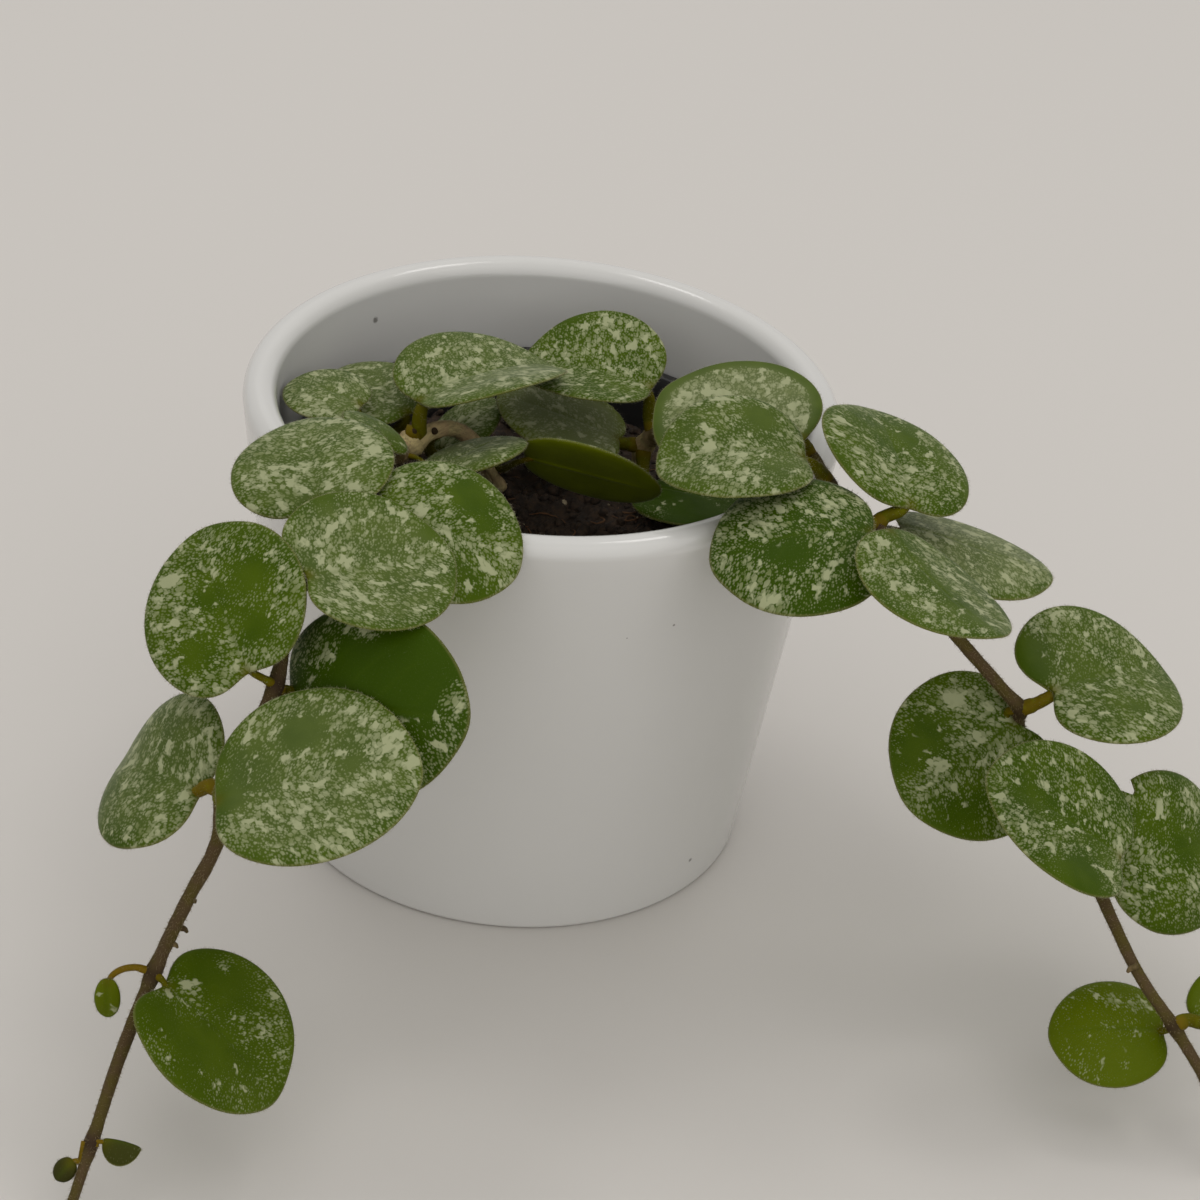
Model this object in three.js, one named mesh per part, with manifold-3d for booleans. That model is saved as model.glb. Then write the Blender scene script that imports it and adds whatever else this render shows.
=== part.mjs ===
// A wax plant with round, silver-splashed leaves in a black growing pot, which
// stands inside a smooth white cover pot. Millimetres, +Z up, the camera of the
// photo looks along +Y. Two vines climb out of the soil, hang over the rim and
// end lying on the table.
import * as THREE from 'three';
import { mergeVertices } from 'three/addons/utils/BufferGeometryUtils.js';
import ManifoldModule from 'manifold-3d';

const wasm = await ManifoldModule();
wasm.setup();

// Driving dimensions of the cover pot
const POT_HEIGHT = 82.4;
const RIM_RADIUS = 50;
const FOOT_RADIUS = 40.3;
const FOOT_ROUNDING = 1.2;
const LIP_THICKNESS = 5.6;
const POT_FLOOR = 6;
const POT_INNER_CORNER = 4;
const POT_TAPER = 0.117;
const POT_SIDES = 40;

// Growing pot
const GAP = 0.3;
const GROW_RIM_RADIUS = 42.1;
const GROW_RIM_HEIGHT = 67.4;
const GROW_BAND = 4;
const GROW_WALL = 1.2;
const GROW_LIP = 2.2;
const GROW_EDGE = 0.6;
const GROW_FOOT_RADIUS = 30;
const DRAIN_RADIUS = 3.5;
const DRAIN_COUNT = 6;
const DRAIN_CIRCLE = 17;

// Soil
const SOIL_TOP = 58.6;
const SOIL_BUMP = 0.8;
const SOIL_SHOULDER = 1.4;
const SOIL_RINGS = [0.93, 0.7, 0.45, 0.2];
const HOLE_CLEARANCE = 0.7;
const HOLE_BOTTOM = 51;
const CUT_THROUGH = 2;

// Leaves
const BLADE_THICKNESS = 1.8;
const BLADE_SECTORS = 20;
const BLADE_RINGS = [0.6, 0.94, 1];
const BLADE_THINNING = 0.35;
const BLADE_TIP = { rise: 0.03, spread: 0.3 };
const NOTCH_SPREAD = 0.38;
const MIDRIB_SOFTNESS = 0.08;
const FULL_LENGTH = 16;
const LEAST_SIZE = 0.6;
const YOUNG_LENGTH = 20;
const STALK_RADIUS = 0.95;
const STALK_SIDES = 6;
const STALK_STEPS = 4;
const STALK_END = 0.8;
const STALK_SINK = 2;
const STALK_DEPTH = 0.35;

// Vines
const NODE_SWELL = 1.28;
const NODE_LENGTH = 2.2;
const VINE_SIDES = 7;
const VINE_STEP = 3.4;
const SPUR_SIDES = 5;

// Centre-lines of the vines, placed by hand. Every row is x, y, z, radius and,
// where leaves spring, the name of the node.

const VINES = {
  vine_left: [
    [-8, 8, 52, 1.6],
    [-8, 8, 61, 1.6],
    [-8.8, 6.6, 65.6, 1.6, 'foot'],
    [-12.5, 3.5, 71, 1.5],
    [-16, 1.5, 73, 1.5, 'arch'],
    [-19.5, -1, 72.8, 1.5],
    [-22, -3, 71.6, 1.5, 'knot'],
    [-23.6, -8, 72.6, 1.3, 'bend'],
    [-26, -17, 75.6, 1.2, 'rise'],
    [-28, -26, 80.4, 1.15],
    [-29.4, -34, 83.8, 1.1],
    [-31, -42, 84.9, 1.1],
    [-32, -50, 84, 1.1, 'rim'],
    [-34, -69.5, 79.6, 1.1, 'upper'],
    [-36.3, -80.4, 73, 1.1, 'middle'],
    [-44, -92.4, 60, 1.1, 'lower'],
    [-46.2, -97, 45, 1.05],
    [-51.4, -95.6, 28.6, 1.05, 'low'],
    [-55, -105, 20, 1],
    [-57.9, -116.2, 12, 0.95, 'last'],
    [-59.7, -122, 6.4, 0.9],
    [-61.5, -129, 2.2, 0.85],
    [-64, -138, 1, 0.8, 'tip'],
    [-67.5, -147, 0.9, 0.75],
    [-70, -154, 0.8, 0.65],
  ],
  vine_right: [
    [17.5, 16, 52, 1.6],
    [17.5, 16, 61, 1.6],
    [17.8, 15, 64.4, 1.6, 'foot'],
    [19.4, 12.4, 68, 1.55, 'knot'],
    [26, 5, 72.5, 1.4],
    [34, -5, 79, 1.3],
    [40, -12.4, 83, 1.25],
    [44.3, -17.6, 85, 1.25, 'rim'],
    [46.7, -22.6, 86, 1.2, 'outer'],
    [49.8, -30, 86.8, 1.15],
    [53.8, -38, 84.6, 1.15, 'upper'],
    [56.6, -39.8, 82.2, 1.1, 'twin'],
    [61.2, -38.8, 75, 1.1],
    [68.8, -36.6, 64.6, 1.1],
    [78.6, -35.2, 53.4, 1.1],
    [81.8, -35.5, 50.1, 1.1, 'middle'],
    [88.5, -47.5, 41.5, 1.1],
    [94, -59.5, 35, 1.1, 'lower'],
    [97, -66, 31.8, 1.05],
    [101.4, -73.2, 26.8, 1],
    [107.3, -79, 21.4, 1, 'low'],
    [112.4, -83, 15.4, 0.95],
    [115.4, -85.2, 9.8, 0.95],
    [118.9, -87.4, 4.4, 0.9],
    [123, -91, 1.3, 0.85],
    [129, -97, 1, 0.8],
    [137, -103, 1, 0.75, 'tip'],
    [144, -107, 0.8, 0.6],
  ],
  shoot_back: [
    [-27, 9, 52, 1.3],
    [-27, 9, 61, 1.3],
    [-28.2, 6.6, 65, 1.25, 'middle'],
    [-30.6, 1.6, 67.8, 1.2],
    [-32.2, -2, 69.8, 1.15, 'top'],
    [-33, -4, 71, 0.9],
  ],
};

// Buds and short aerial roots, fused into their vine. Every row is x, y, z, radius.
const SPURS = {
  vine_left: [
    [[-8.2, 7.4, 62.4, 1], [-7.2, 3.6, 63, 0.95], [-5.4, 0.6, 62.6, 1.2], [-4.6, -0.6, 62.2, 0.9]],
    [[-22, -3.4, 72, 0.9], [-22.6, -5, 73.4, 0.5]],
    [[-45.6, -96.6, 48, 0.6], [-42.6, -97, 46.6, 0.3]],
    [[-46.6, -97, 43.4, 0.6], [-43.8, -97.2, 41.2, 0.3]],
    [[-48.4, -96.8, 38, 0.6], [-45.8, -97, 36.6, 0.3]],
  ],
  vine_right: [
    [[19.4, 12.4, 68, 0.9], [21.6, 11, 69.6, 0.5]],
    [[81, -35.4, 51, 0.7], [79.8, -36.2, 52.6, 0.35]],
    [[99, -69.4, 29.4, 0.6], [96.6, -70.6, 27.6, 0.3]],
  ],
  shoot_back: [],
};

// The leaves, placed by hand. Every row is name, vine, node, base of the blade
// [x, y, z], heading, slope and roll in degrees, length, width, then how the
// blade is shaped: notch at the base, fold along the midrib in degrees, and cup
// and curl, which are how far the rim and the tip go down.

const LEAVES = [
  ['leaf_left_1', 'vine_left', 'foot', [-2.4, -2.9, 70.8], -14, -2, -70, 25.5, 20, 0.14, 0, 0.4, 0],
  ['leaf_left_2', 'vine_left', 'arch', [-17, 10.6, 62.8], 51, 27, -18, 14.6, 14.2, 0.14, 0, 0.6, 0],
  ['leaf_left_3', 'vine_left', 'knot', [-21, -2.5, 80.2], 37, 4, -9, 29.2, 29.2, 0.15, 20, 1.4, 1.8],
  ['leaf_left_4', 'vine_left', 'rim', [-24, -52, 88.6], -12, -10, 14, 26.6, 28.4, 0.24, 4, 0.9, 3.5],
  ['leaf_left_5', 'vine_left', 'bend', [-16, -14.4, 73.4], 44, 5, -22, 17.6, 18.6, 0.16, 3, 0.5, 0],
  ['leaf_left_6', 'vine_left', 'rise', [-25.2, -16.2, 78.8], 108, -3, 28, 12.3, 12.2, 0.14, 0, 0.8, 0],
  ['leaf_left_7', 'vine_left', 'rim', [-33, -54, 89.4], 102, 7, -12, 25.4, 25.6, 0.2, 0, 1.3, 0.4],
  ['leaf_left_8', 'vine_left', 'upper', [-32.4, -73.5, 87.6], 29, -5, 15, 26.2, 27.6, 0.22, 6, -1.2, -1.5],
  ['leaf_left_9', 'vine_left', 'middle', [-40.5, -83.8, 77.2], 116, 25, -40, 28.3, 27.3, 0.18, 3, 1.2, 0],
  ['leaf_left_10', 'vine_left', 'middle', [-33.8, -78.4, 71.3], -28, 12.5, 62, 29.4, 27.6, 0.06, 3, 3.6, 1.5],
  ['leaf_left_11', 'vine_left', 'lower', [-43.2, -100, 66], 3, 16, 18, 31.6, 32, 0.07, 12, 1.8, 0.6],
  ['leaf_left_12', 'vine_left', 'lower', [-47.6, -89.9, 60], 126, -17, -46, 26.4, 26.4, 0.17, 14, 3.3, -0.9],
  ['leaf_left_13', 'vine_left', 'low', [-49.6, -98.2, 29.2], -24, -31, 2, 27.5, 28.3, 0.26, 13, 1.4, 1.5],
  ['leaf_left_14', 'vine_left', 'low', [-56.8, -95, 28.6], 215, -66, 0, 9, 6.4, 0.1, 0, 0.8, 0],
  ['leaf_left_15', 'vine_left', 'last', [-61.8, -119.4, 9.8], 195, -12, 10, 7.5, 6, 0.1, 0, 0.6, 0],
  ['leaf_left_16', 'vine_left', 'last', [-55.2, -116.8, 12.6], -10, -12, 10, 7.5, 5.6, 0.1, 0, 0.8, 0],
  ['leaf_left_17', 'vine_left', 'tip', [-61.4, -137.4, 2.6], 15, 12, 0, 6.5, 5, 0.1, 0, 0.3, 0],
  ['leaf_left_18', 'vine_left', 'tip', [-66.8, -139.4, 2.6], 195, 12, 0, 6.5, 5, 0.1, 0, 0.3, 0],

  ['leaf_right_1', 'vine_right', 'foot', [13.7, 13.7, 66], 173, 14, -3, 24, 22, 0.16, 3, 0.5, 0],
  ['leaf_right_2', 'vine_right', 'foot', [19, 4.5, 62.4], -29, 7, -3, 20.4, 20.4, 0.18, 1, 0.4, 0],
  ['leaf_right_3', 'vine_right', 'knot', [18.2, 13.6, 77], 160, -1, -8, 25.8, 26.3, 0.17, 22, 0.5, 0.3],
  ['leaf_right_4', 'vine_right', 'rim', [43, -20, 88], 150, -2, -15, 29, 29, 0.26, -3, -0.6, 0],
  ['leaf_right_5', 'vine_right', 'outer', [42.4, -29, 91.5], 190, 0, -7, 25.4, 26.4, 0.22, 18, 2.2, 1.9],
  ['leaf_right_6', 'vine_right', 'upper', [59.4, -35.6, 87], 104, 12, 20, 26.9, 26.8, 0.17, 8, 1.3, 0.7],
  ['leaf_right_7', 'vine_right', 'upper', [53.1, -45, 88.2], 192, -7, -15, 28.2, 28.8, 0.18, 3, 2.8, 1.5],
  ['leaf_right_8', 'vine_right', 'twin', [54.4, -45.4, 87.3], -51, -19, -18, 26.8, 27.4, 0.06, -10, -1, -3],
  ['leaf_right_9', 'vine_right', 'twin', [58.8, -27.6, 78.2], -5, -15, -6, 28.4, 25.5, 0.17, -6, 0.4, -1.3],
  ['leaf_right_10', 'vine_right', 'middle', [86.5, -36, 54.8], 32, -1, 16, 29, 30.2, 0.36, 14, 1.9, 1.3],
  ['leaf_right_11', 'vine_right', 'middle', [81.5, -34.8, 47.3], 220, -21, -38, 27.6, 27, 0.24, 0, 0, 0],
  ['leaf_right_12', 'vine_right', 'lower', [97.4, -62.4, 41.2], 174, 30, -12, 28.7, 28.8, 0.21, 11, 0.6, 1],
  ['leaf_right_13', 'vine_right', 'lower', [98.4, -58, 36.6], 36, -6, 50, 28.2, 26.9, 0.11, 11, 4.3, 0],
  ['leaf_right_14', 'vine_right', 'low', [106.5, -76, 18.6], 182, -6, -27, 19.6, 18.4, 0.17, 0, 1.8, 0],
  ['leaf_right_15', 'vine_right', 'low', [112.4, -77.4, 21.4], 35, 10, 10, 17, 16, 0.17, 5, 1, 0],
  ['leaf_right_16', 'vine_right', 'tip', [138.6, -99.4, 2.8], 66, 10, 0, 11, 9.5, 0.15, 0, 0.5, 0],
  ['leaf_right_17', 'vine_right', 'tip', [135.4, -106.4, 2.8], 246, 10, 0, 11, 9.5, 0.15, 0, 0.5, 0],

  ['leaf_back_1', 'shoot_back', 'top', [-30.2, -1, 77], 160, 3, 0, 14.5, 17, 0.14, 4, 0.6, 0],
  ['leaf_back_2', 'shoot_back', 'middle', [-22.6, 3.5, 74.2], 127, -2, -6, 22, 18.5, 0.16, 0, 1.2, 0],
];

// Geometry helpers

const v3 = (x, y, z) => new THREE.Vector3(x, y, z);
const radians = THREE.MathUtils.degToRad;

/** A closed skin: a pole, rings with equal counts, and a second pole. The
 *  cells after ring `flip` are split the other way, so that two faces of a
 *  thin body are split alike. */
function closedSkin(startPole, rings, endPole, flip = Infinity) {
  const count = rings[0].length;
  const points = [startPole, ...rings.flat(), endPole];
  const at = (i, j) => 1 + i * count + (j % count);
  const last = points.length - 1;
  const index = [];
  for (let j = 0; j < count; j += 1) {
    index.push(0, at(0, j + 1), at(0, j));
    index.push(last, at(rings.length - 1, j), at(rings.length - 1, j + 1));
  }
  for (let i = 0; i + 1 < rings.length; i += 1) {
    for (let j = 0; j < count; j += 1) {
      const a = at(i, j);
      const b = at(i, j + 1);
      const c = at(i + 1, j);
      const d = at(i + 1, j + 1);
      if (i < flip) {
        index.push(a, b, c, b, d, c);
      } else {
        index.push(a, b, d, a, d, c);
      }
    }
  }
  const geometry = new THREE.BufferGeometry();
  const places = points.flatMap((p) => [p.x, p.y, p.z]);
  geometry.setAttribute('position', new THREE.Float32BufferAttribute(places, 3));
  geometry.setIndex(index);
  return geometry;
}

function toSolid(geometry) {
  const bare = geometry.clone();
  bare.deleteAttribute('normal');
  bare.deleteAttribute('uv');
  const merged = mergeVertices(bare, 1e-4);
  return new wasm.Manifold(new wasm.Mesh({
    numProp: 3,
    vertProperties: new Float32Array(merged.attributes.position.array),
    triVerts: new Uint32Array(merged.index.array),
  }));
}

function toGeometry(solid) {
  const mesh = solid.getMesh();
  const geometry = new THREE.BufferGeometry();
  geometry.setAttribute('position', new THREE.BufferAttribute(new Float32Array(mesh.vertProperties), 3));
  geometry.setIndex(new THREE.BufferAttribute(new Uint32Array(mesh.triVerts), 1));
  return geometry;
}

const join = (parts) => parts.map(toSolid).reduce((whole, part) => whole.add(part));
const cut = (whole, parts) => parts.map(toSolid).reduce((rest, part) => rest.subtract(part), toSolid(whole));

/** The point that lies past `to` on the way from `from`. */
const beyond = (from, to, distance) => to.clone().addScaledVector(to.clone().sub(from).normalize(), distance);

/** Sweeps a circle along sampled centres, with one radius for each. */
function sweep(centres, radii, sides) {
  const rings = [];
  let across = null;
  centres.forEach((centre, i) => {
    const ahead = centres[Math.min(i + 1, centres.length - 1)];
    const behind = centres[Math.max(i - 1, 0)];
    const along = ahead.clone().sub(behind).normalize();
    if (across === null) {
      across = Math.abs(along.z) < 0.8 ? v3(0, 0, 1) : v3(1, 0, 0);
    }
    across = across.clone().addScaledVector(along, -across.dot(along)).normalize();
    const other = along.clone().cross(across);
    const ring = [];
    for (let j = 0; j < sides; j += 1) {
      const angle = (2 * Math.PI * j) / sides;
      ring.push(centre.clone()
        .addScaledVector(across, Math.cos(angle) * radii[i])
        .addScaledVector(other, Math.sin(angle) * radii[i]));
    }
    rings.push(ring);
  });
  const n = centres.length;
  return closedSkin(
    beyond(centres[1], centres[0], radii[0] * 0.3),
    rings,
    beyond(centres[n - 2], centres[n - 1], radii[n - 1] * 0.5),
  );
}

function cylinder(radius, low, high, x, y, sides = 12) {
  const upright = new THREE.CylinderGeometry(radius, radius, high - low, sides).rotateX(Math.PI / 2);
  return upright.translate(x, y, (low + high) / 2);
}

// Pots and soil

function coverPot() {
  const lip = LIP_THICKNESS / 2;
  const lipZ = POT_HEIGHT - lip;
  const lipCentre = RIM_RADIUS - lip;
  const innerAt = (z) => RIM_RADIUS - LIP_THICKNESS - POT_TAPER * (lipZ - z);
  const profile = [[0, 0], [FOOT_RADIUS - FOOT_ROUNDING, 0]];
  for (const a of [-60, -30, 0]) {
    profile.push([
      FOOT_RADIUS - FOOT_ROUNDING + FOOT_ROUNDING * Math.cos(radians(a)),
      FOOT_ROUNDING + FOOT_ROUNDING * Math.sin(radians(a)),
    ]);
  }
  for (let a = 0; a <= 180; a += 30) {
    profile.push([lipCentre + lip * Math.cos(radians(a)), lipZ + lip * Math.sin(radians(a))]);
  }
  const cornerZ = POT_FLOOR + POT_INNER_CORNER;
  const cornerR = innerAt(cornerZ) - POT_INNER_CORNER;
  for (const a of [0, -30, -60, -90]) {
    profile.push([
      cornerR + POT_INNER_CORNER * Math.cos(radians(a)),
      cornerZ + POT_INNER_CORNER * Math.sin(radians(a)),
    ]);
  }
  profile.push([0, POT_FLOOR]);
  return lathe(profile, POT_SIDES);
}

function lathe(profile, sides) {
  const points = profile.map(([r, z]) => new THREE.Vector2(r, z));
  return new THREE.LatheGeometry(points, sides).rotateX(Math.PI / 2);
}

function growOuterAt(z) {
  const foot = POT_FLOOR + GAP;
  const part = (z - foot) / (GROW_RIM_HEIGHT - foot);
  return GROW_FOOT_RADIUS + (GROW_RIM_RADIUS - GROW_WALL - GROW_FOOT_RADIUS) * part;
}

function growingPot() {
  const foot = POT_FLOOR + GAP;
  const bandZ = GROW_RIM_HEIGHT - GROW_BAND;
  const profile = [
    [0, foot],
    [GROW_FOOT_RADIUS, foot],
    [growOuterAt(bandZ), bandZ],
    [GROW_RIM_RADIUS - GROW_EDGE / 2, bandZ],
    [GROW_RIM_RADIUS, bandZ + GROW_EDGE],
    [GROW_RIM_RADIUS, GROW_RIM_HEIGHT - GROW_EDGE],
    [GROW_RIM_RADIUS - GROW_EDGE, GROW_RIM_HEIGHT],
    [GROW_RIM_RADIUS - GROW_LIP, GROW_RIM_HEIGHT],
    [growOuterAt(GROW_RIM_HEIGHT) - GROW_WALL - GROW_EDGE / 2, GROW_RIM_HEIGHT - GROW_EDGE],
    [growOuterAt(bandZ) - GROW_WALL, bandZ - GROW_EDGE],
    [GROW_FOOT_RADIUS - GROW_WALL, foot + GROW_WALL],
    [0, foot + GROW_WALL],
  ];
  const drains = [];
  for (let i = 0; i < DRAIN_COUNT; i += 1) {
    const angle = (2 * Math.PI * i) / DRAIN_COUNT;
    const x = DRAIN_CIRCLE * Math.cos(angle);
    const y = DRAIN_CIRCLE * Math.sin(angle);
    drains.push(cylinder(DRAIN_RADIUS, foot - CUT_THROUGH, foot + GROW_WALL + CUT_THROUGH, x, y));
  }
  return cut(lathe(profile, POT_SIDES), drains);
}

function soil() {
  const low = POT_FLOOR + GAP + GROW_WALL + GAP;
  const sides = POT_SIDES;
  const innerAt = (z) => growOuterAt(z) - GROW_WALL - 2 * GAP;
  const broad = (x, y) => Math.sin(x * 0.42 + 1.3) * Math.cos(y * 0.37);
  const fine = (x, y) => 0.6 * Math.sin(x * 0.9 - y * 0.7);
  const ring = (radius, height) => {
    const points = [];
    for (let j = 0; j < sides; j += 1) {
      const angle = (2 * Math.PI * j) / sides;
      const x = radius * Math.cos(angle);
      const y = radius * Math.sin(angle);
      points.push(v3(x, y, height(x, y)));
    }
    return points;
  };
  const top = (x, y) => SOIL_TOP + SOIL_BUMP * (broad(x, y) + fine(x, y));
  const shoulder = ring(innerAt(SOIL_TOP - SOIL_SHOULDER), (x, y) => top(x, y) - SOIL_SHOULDER);
  const rings = [ring(innerAt(low), () => low), shoulder];
  for (const part of SOIL_RINGS) {
    rings.push(ring(innerAt(SOIL_TOP) * part, top));
  }
  const body = closedSkin(v3(0, 0, low), rings, v3(0, 0, top(0, 0)));
  const holes = Object.values(VINES).map((rows) => {
    const [x, y, , radius] = rows[0];
    return cylinder(radius + HOLE_CLEARANCE, HOLE_BOTTOM, SOIL_TOP + 2 * CUT_THROUGH, x, y);
  });
  return cut(body, holes);
}

// Vines

function vineCurve(rows) {
  return new THREE.CatmullRomCurve3(rows.map(([x, y, z]) => v3(x, y, z)), false, 'centripetal');
}

function spur(rows) {
  return sweep(rows.map(([x, y, z]) => v3(x, y, z)), rows.map((row) => row[3]), SPUR_SIDES);
}

function vine(rows) {
  const curve = vineCurve(rows);
  const nodes = rows.filter((row) => row.length > 4).map(([x, y, z]) => v3(x, y, z));
  const centres = [];
  const radii = [];
  for (let i = 0; i + 1 < rows.length; i += 1) {
    const span = v3(...rows[i].slice(0, 3)).distanceTo(v3(...rows[i + 1].slice(0, 3)));
    const steps = Math.max(2, Math.round(span / VINE_STEP));
    for (let k = 0; k < steps; k += 1) {
      add((i + k / steps) / (rows.length - 1), rows[i][3] + ((rows[i + 1][3] - rows[i][3]) * k) / steps);
    }
  }
  add(1, rows[rows.length - 1][3]);
  return sweep(centres, radii, VINE_SIDES);

  function add(u, radius) {
    const centre = curve.getPoint(u);
    const near = Math.min(...nodes.map((node) => node.distanceTo(centre)));
    centres.push(centre);
    radii.push(radius * (1 + (NODE_SWELL - 1) * Math.exp(-((near / NODE_LENGTH) ** 2))));
  }
}

// Leaves

/** The three directions of a leaf: along the midrib, to its left, and up. */
function leafAxes(heading, slope, roll) {
  const [a, b, c] = [heading, slope, roll].map(radians);
  const along = v3(Math.cos(a) * Math.cos(b), Math.sin(a) * Math.cos(b), Math.sin(b));
  const level = v3(-Math.sin(a), Math.cos(a), 0);
  const rise = along.clone().cross(level);
  const left = level.multiplyScalar(Math.cos(c)).addScaledVector(rise, Math.sin(c));
  return { along, left, up: along.clone().cross(left) };
}

/** How far the outline lies from a circle: a notch at the base, a small tip. */
function outline(angle, notch) {
  const fromBase = Math.abs(angle) - Math.PI;
  const tip = BLADE_TIP.rise * Math.exp(-((angle / BLADE_TIP.spread) ** 2));
  return 1 + tip - notch * Math.exp(-((fromBase / NOTCH_SPREAD) ** 2));
}

/** Small leaves have a thinner blade and stalk. */
const sizeOf = ({ length }) => THREE.MathUtils.clamp(length / FULL_LENGTH, LEAST_SIZE, 1);

/** How far the middle of the blade lies above the plane of the leaf. */
function bladeHeight({ length, width, notch, fold, cup, curl }, u, v) {
  const half = length / 2;
  const soft = MIDRIB_SOFTNESS * width;
  const out = ((u + half * notch - half) / half) ** 2 + (v / (width / 2)) ** 2;
  return Math.tan(radians(fold)) * (Math.hypot(v, soft) - soft) - cup * out - curl * (u / length) ** 2;
}

function bladePoint(leaf, axes, s, angle, side) {
  const { base, length, width, notch } = leaf;
  const r = s * (1 + (outline(angle, notch) - 1) * s * s);
  const half = length / 2;
  const inset = half * notch;
  const u = half * (1 + r * Math.cos(angle)) - inset;
  const v = (width / 2) * r * Math.sin(angle);
  const thick = s < 1 ? BLADE_THICKNESS * sizeOf(leaf) * (1 - BLADE_THINNING * s * s) : 0;
  const h = bladeHeight(leaf, u, v) + (side * thick) / 2;
  return v3(...base)
    .addScaledVector(axes.along, u)
    .addScaledVector(axes.left, v)
    .addScaledVector(axes.up, h);
}

function blade(leaf, axes) {
  const angles = [];
  for (let j = 0; j < BLADE_SECTORS; j += 1) {
    const t = (2 * Math.PI * j) / BLADE_SECTORS - Math.PI;
    angles.push(t - 0.15 * Math.sin(2 * t));
  }
  const ring = (s, side) => angles.map((angle) => bladePoint(leaf, axes, s, angle, side));
  const under = BLADE_RINGS.map((s) => ring(s, -1));
  const over = BLADE_RINGS.slice(0, -1).reverse().map((s) => ring(s, 1));
  return closedSkin(
    bladePoint(leaf, axes, 0, 0, -1),
    [...under, ...over],
    bladePoint(leaf, axes, 0, 0, 1),
    BLADE_RINGS.length - 1,
  );
}

/** The stalk leaves the vine squarely and comes into the blade along its midrib. */
function stalk(leaf, axes) {
  const rows = VINES[leaf.vine];
  const i = rows.findIndex((row) => row[4] === leaf.node);
  const node = v3(...rows[i].slice(0, 3));
  const along = v3(...rows[i + 1].slice(0, 3)).sub(v3(...rows[i - 1].slice(0, 3))).normalize();
  const base = v3(...leaf.base);
  const out = base.clone().sub(node);
  out.addScaledVector(along, -out.dot(along)).normalize();
  const start = node.clone().addScaledVector(out, rows[i][3] * NODE_SWELL + 2 * GAP);
  const sink = Math.min(STALK_SINK, leaf.length * 0.15);
  const end = base.clone()
    .addScaledVector(axes.along, sink)
    .addScaledVector(axes.up, bladeHeight(leaf, sink, 0) - STALK_DEPTH * sizeOf(leaf));
  const reach = start.distanceTo(end);
  const curve = new THREE.CubicBezierCurve3(
    start,
    start.clone().addScaledVector(out, reach * 0.3),
    end.clone().addScaledVector(axes.along, -reach * 0.4).addScaledVector(axes.up, -reach * 0.08),
    end,
  );
  const centres = [];
  const radii = [];
  for (let k = 0; k <= STALK_STEPS; k += 1) {
    centres.push(curve.getPoint(k / STALK_STEPS));
    radii.push(STALK_RADIUS * sizeOf(leaf) * (k === STALK_STEPS ? STALK_END : 1));
  }
  return sweep(centres, radii, STALK_SIDES);
}

// Colours and assembly

function paint(colour, roughness) {
  return new THREE.MeshStandardMaterial({ color: colour, roughness, metalness: 0 });
}

const GLAZE = paint('#dedcd8', 0.3);
const BLACK_PLASTIC = paint('#1c1b1a', 0.5);
const EARTH = paint('#1d1713', 0.95);
const BARK = paint('#4a3b26', 0.85);
const LEAF_GREEN = paint('#4f7a26', 0.55);
const YOUNG_GREEN = paint('#7d8f2c', 0.55);

const part = new THREE.Group();
part.name = 'potted_wax_plant';

function place(name, geometry, material) {
  geometry.computeVertexNormals();
  const mesh = new THREE.Mesh(geometry, material);
  mesh.name = name;
  part.add(mesh);
}

place('cover_pot', coverPot(), GLAZE);
place('growing_pot', toGeometry(growingPot()), BLACK_PLASTIC);
place('soil', toGeometry(soil()), EARTH);
for (const [name, rows] of Object.entries(VINES)) {
  place(name, toGeometry(join([vine(rows), ...SPURS[name].map(spur)])), BARK);
}
for (const row of LEAVES) {
  const [name, vineName, node, base, heading, slope, roll, length, width, notch, fold, cup, curl] = row;
  const leaf = { vine: vineName, node, base, length, width, notch, fold, cup, curl };
  const axes = leafAxes(heading, slope, roll);
  const solid = join([blade(leaf, axes), stalk(leaf, axes)]);
  const young = length < YOUNG_LENGTH && vineName !== 'shoot_back';
  place(name, toGeometry(solid), young ? YOUNG_GREEN : LEAF_GREEN);
}

export default part;
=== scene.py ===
"""A wax plant with round, silver-splashed leaves in a black growing pot inside a white cover pot.

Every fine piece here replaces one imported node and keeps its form. Points are worked out in
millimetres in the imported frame, +Z up, and put into the meshes in metres.
"""

import logging
import math
from dataclasses import dataclass, field
from enum import Enum

import bpy
import numpy as np
from mathutils import Matrix, Vector


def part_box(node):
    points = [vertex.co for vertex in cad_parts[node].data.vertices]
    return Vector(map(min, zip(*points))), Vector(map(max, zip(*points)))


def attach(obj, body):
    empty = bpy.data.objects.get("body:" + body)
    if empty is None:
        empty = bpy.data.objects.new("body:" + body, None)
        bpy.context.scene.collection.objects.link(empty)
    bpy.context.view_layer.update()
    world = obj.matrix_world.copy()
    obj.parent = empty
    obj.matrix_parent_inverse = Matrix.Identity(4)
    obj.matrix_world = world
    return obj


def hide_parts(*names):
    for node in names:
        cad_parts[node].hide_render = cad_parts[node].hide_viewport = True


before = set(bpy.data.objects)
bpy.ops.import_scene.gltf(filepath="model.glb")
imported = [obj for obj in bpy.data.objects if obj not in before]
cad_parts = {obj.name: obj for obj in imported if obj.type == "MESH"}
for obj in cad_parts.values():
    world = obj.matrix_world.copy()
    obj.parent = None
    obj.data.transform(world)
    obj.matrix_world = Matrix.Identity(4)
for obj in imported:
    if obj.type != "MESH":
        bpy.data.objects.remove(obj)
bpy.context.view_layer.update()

MM = 0.001
PHOTO_WIDTH = 1200
SENSOR_WIDTH = 36.0
TURN = 2 * math.pi

log = logging.getLogger("wax_plant")

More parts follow.
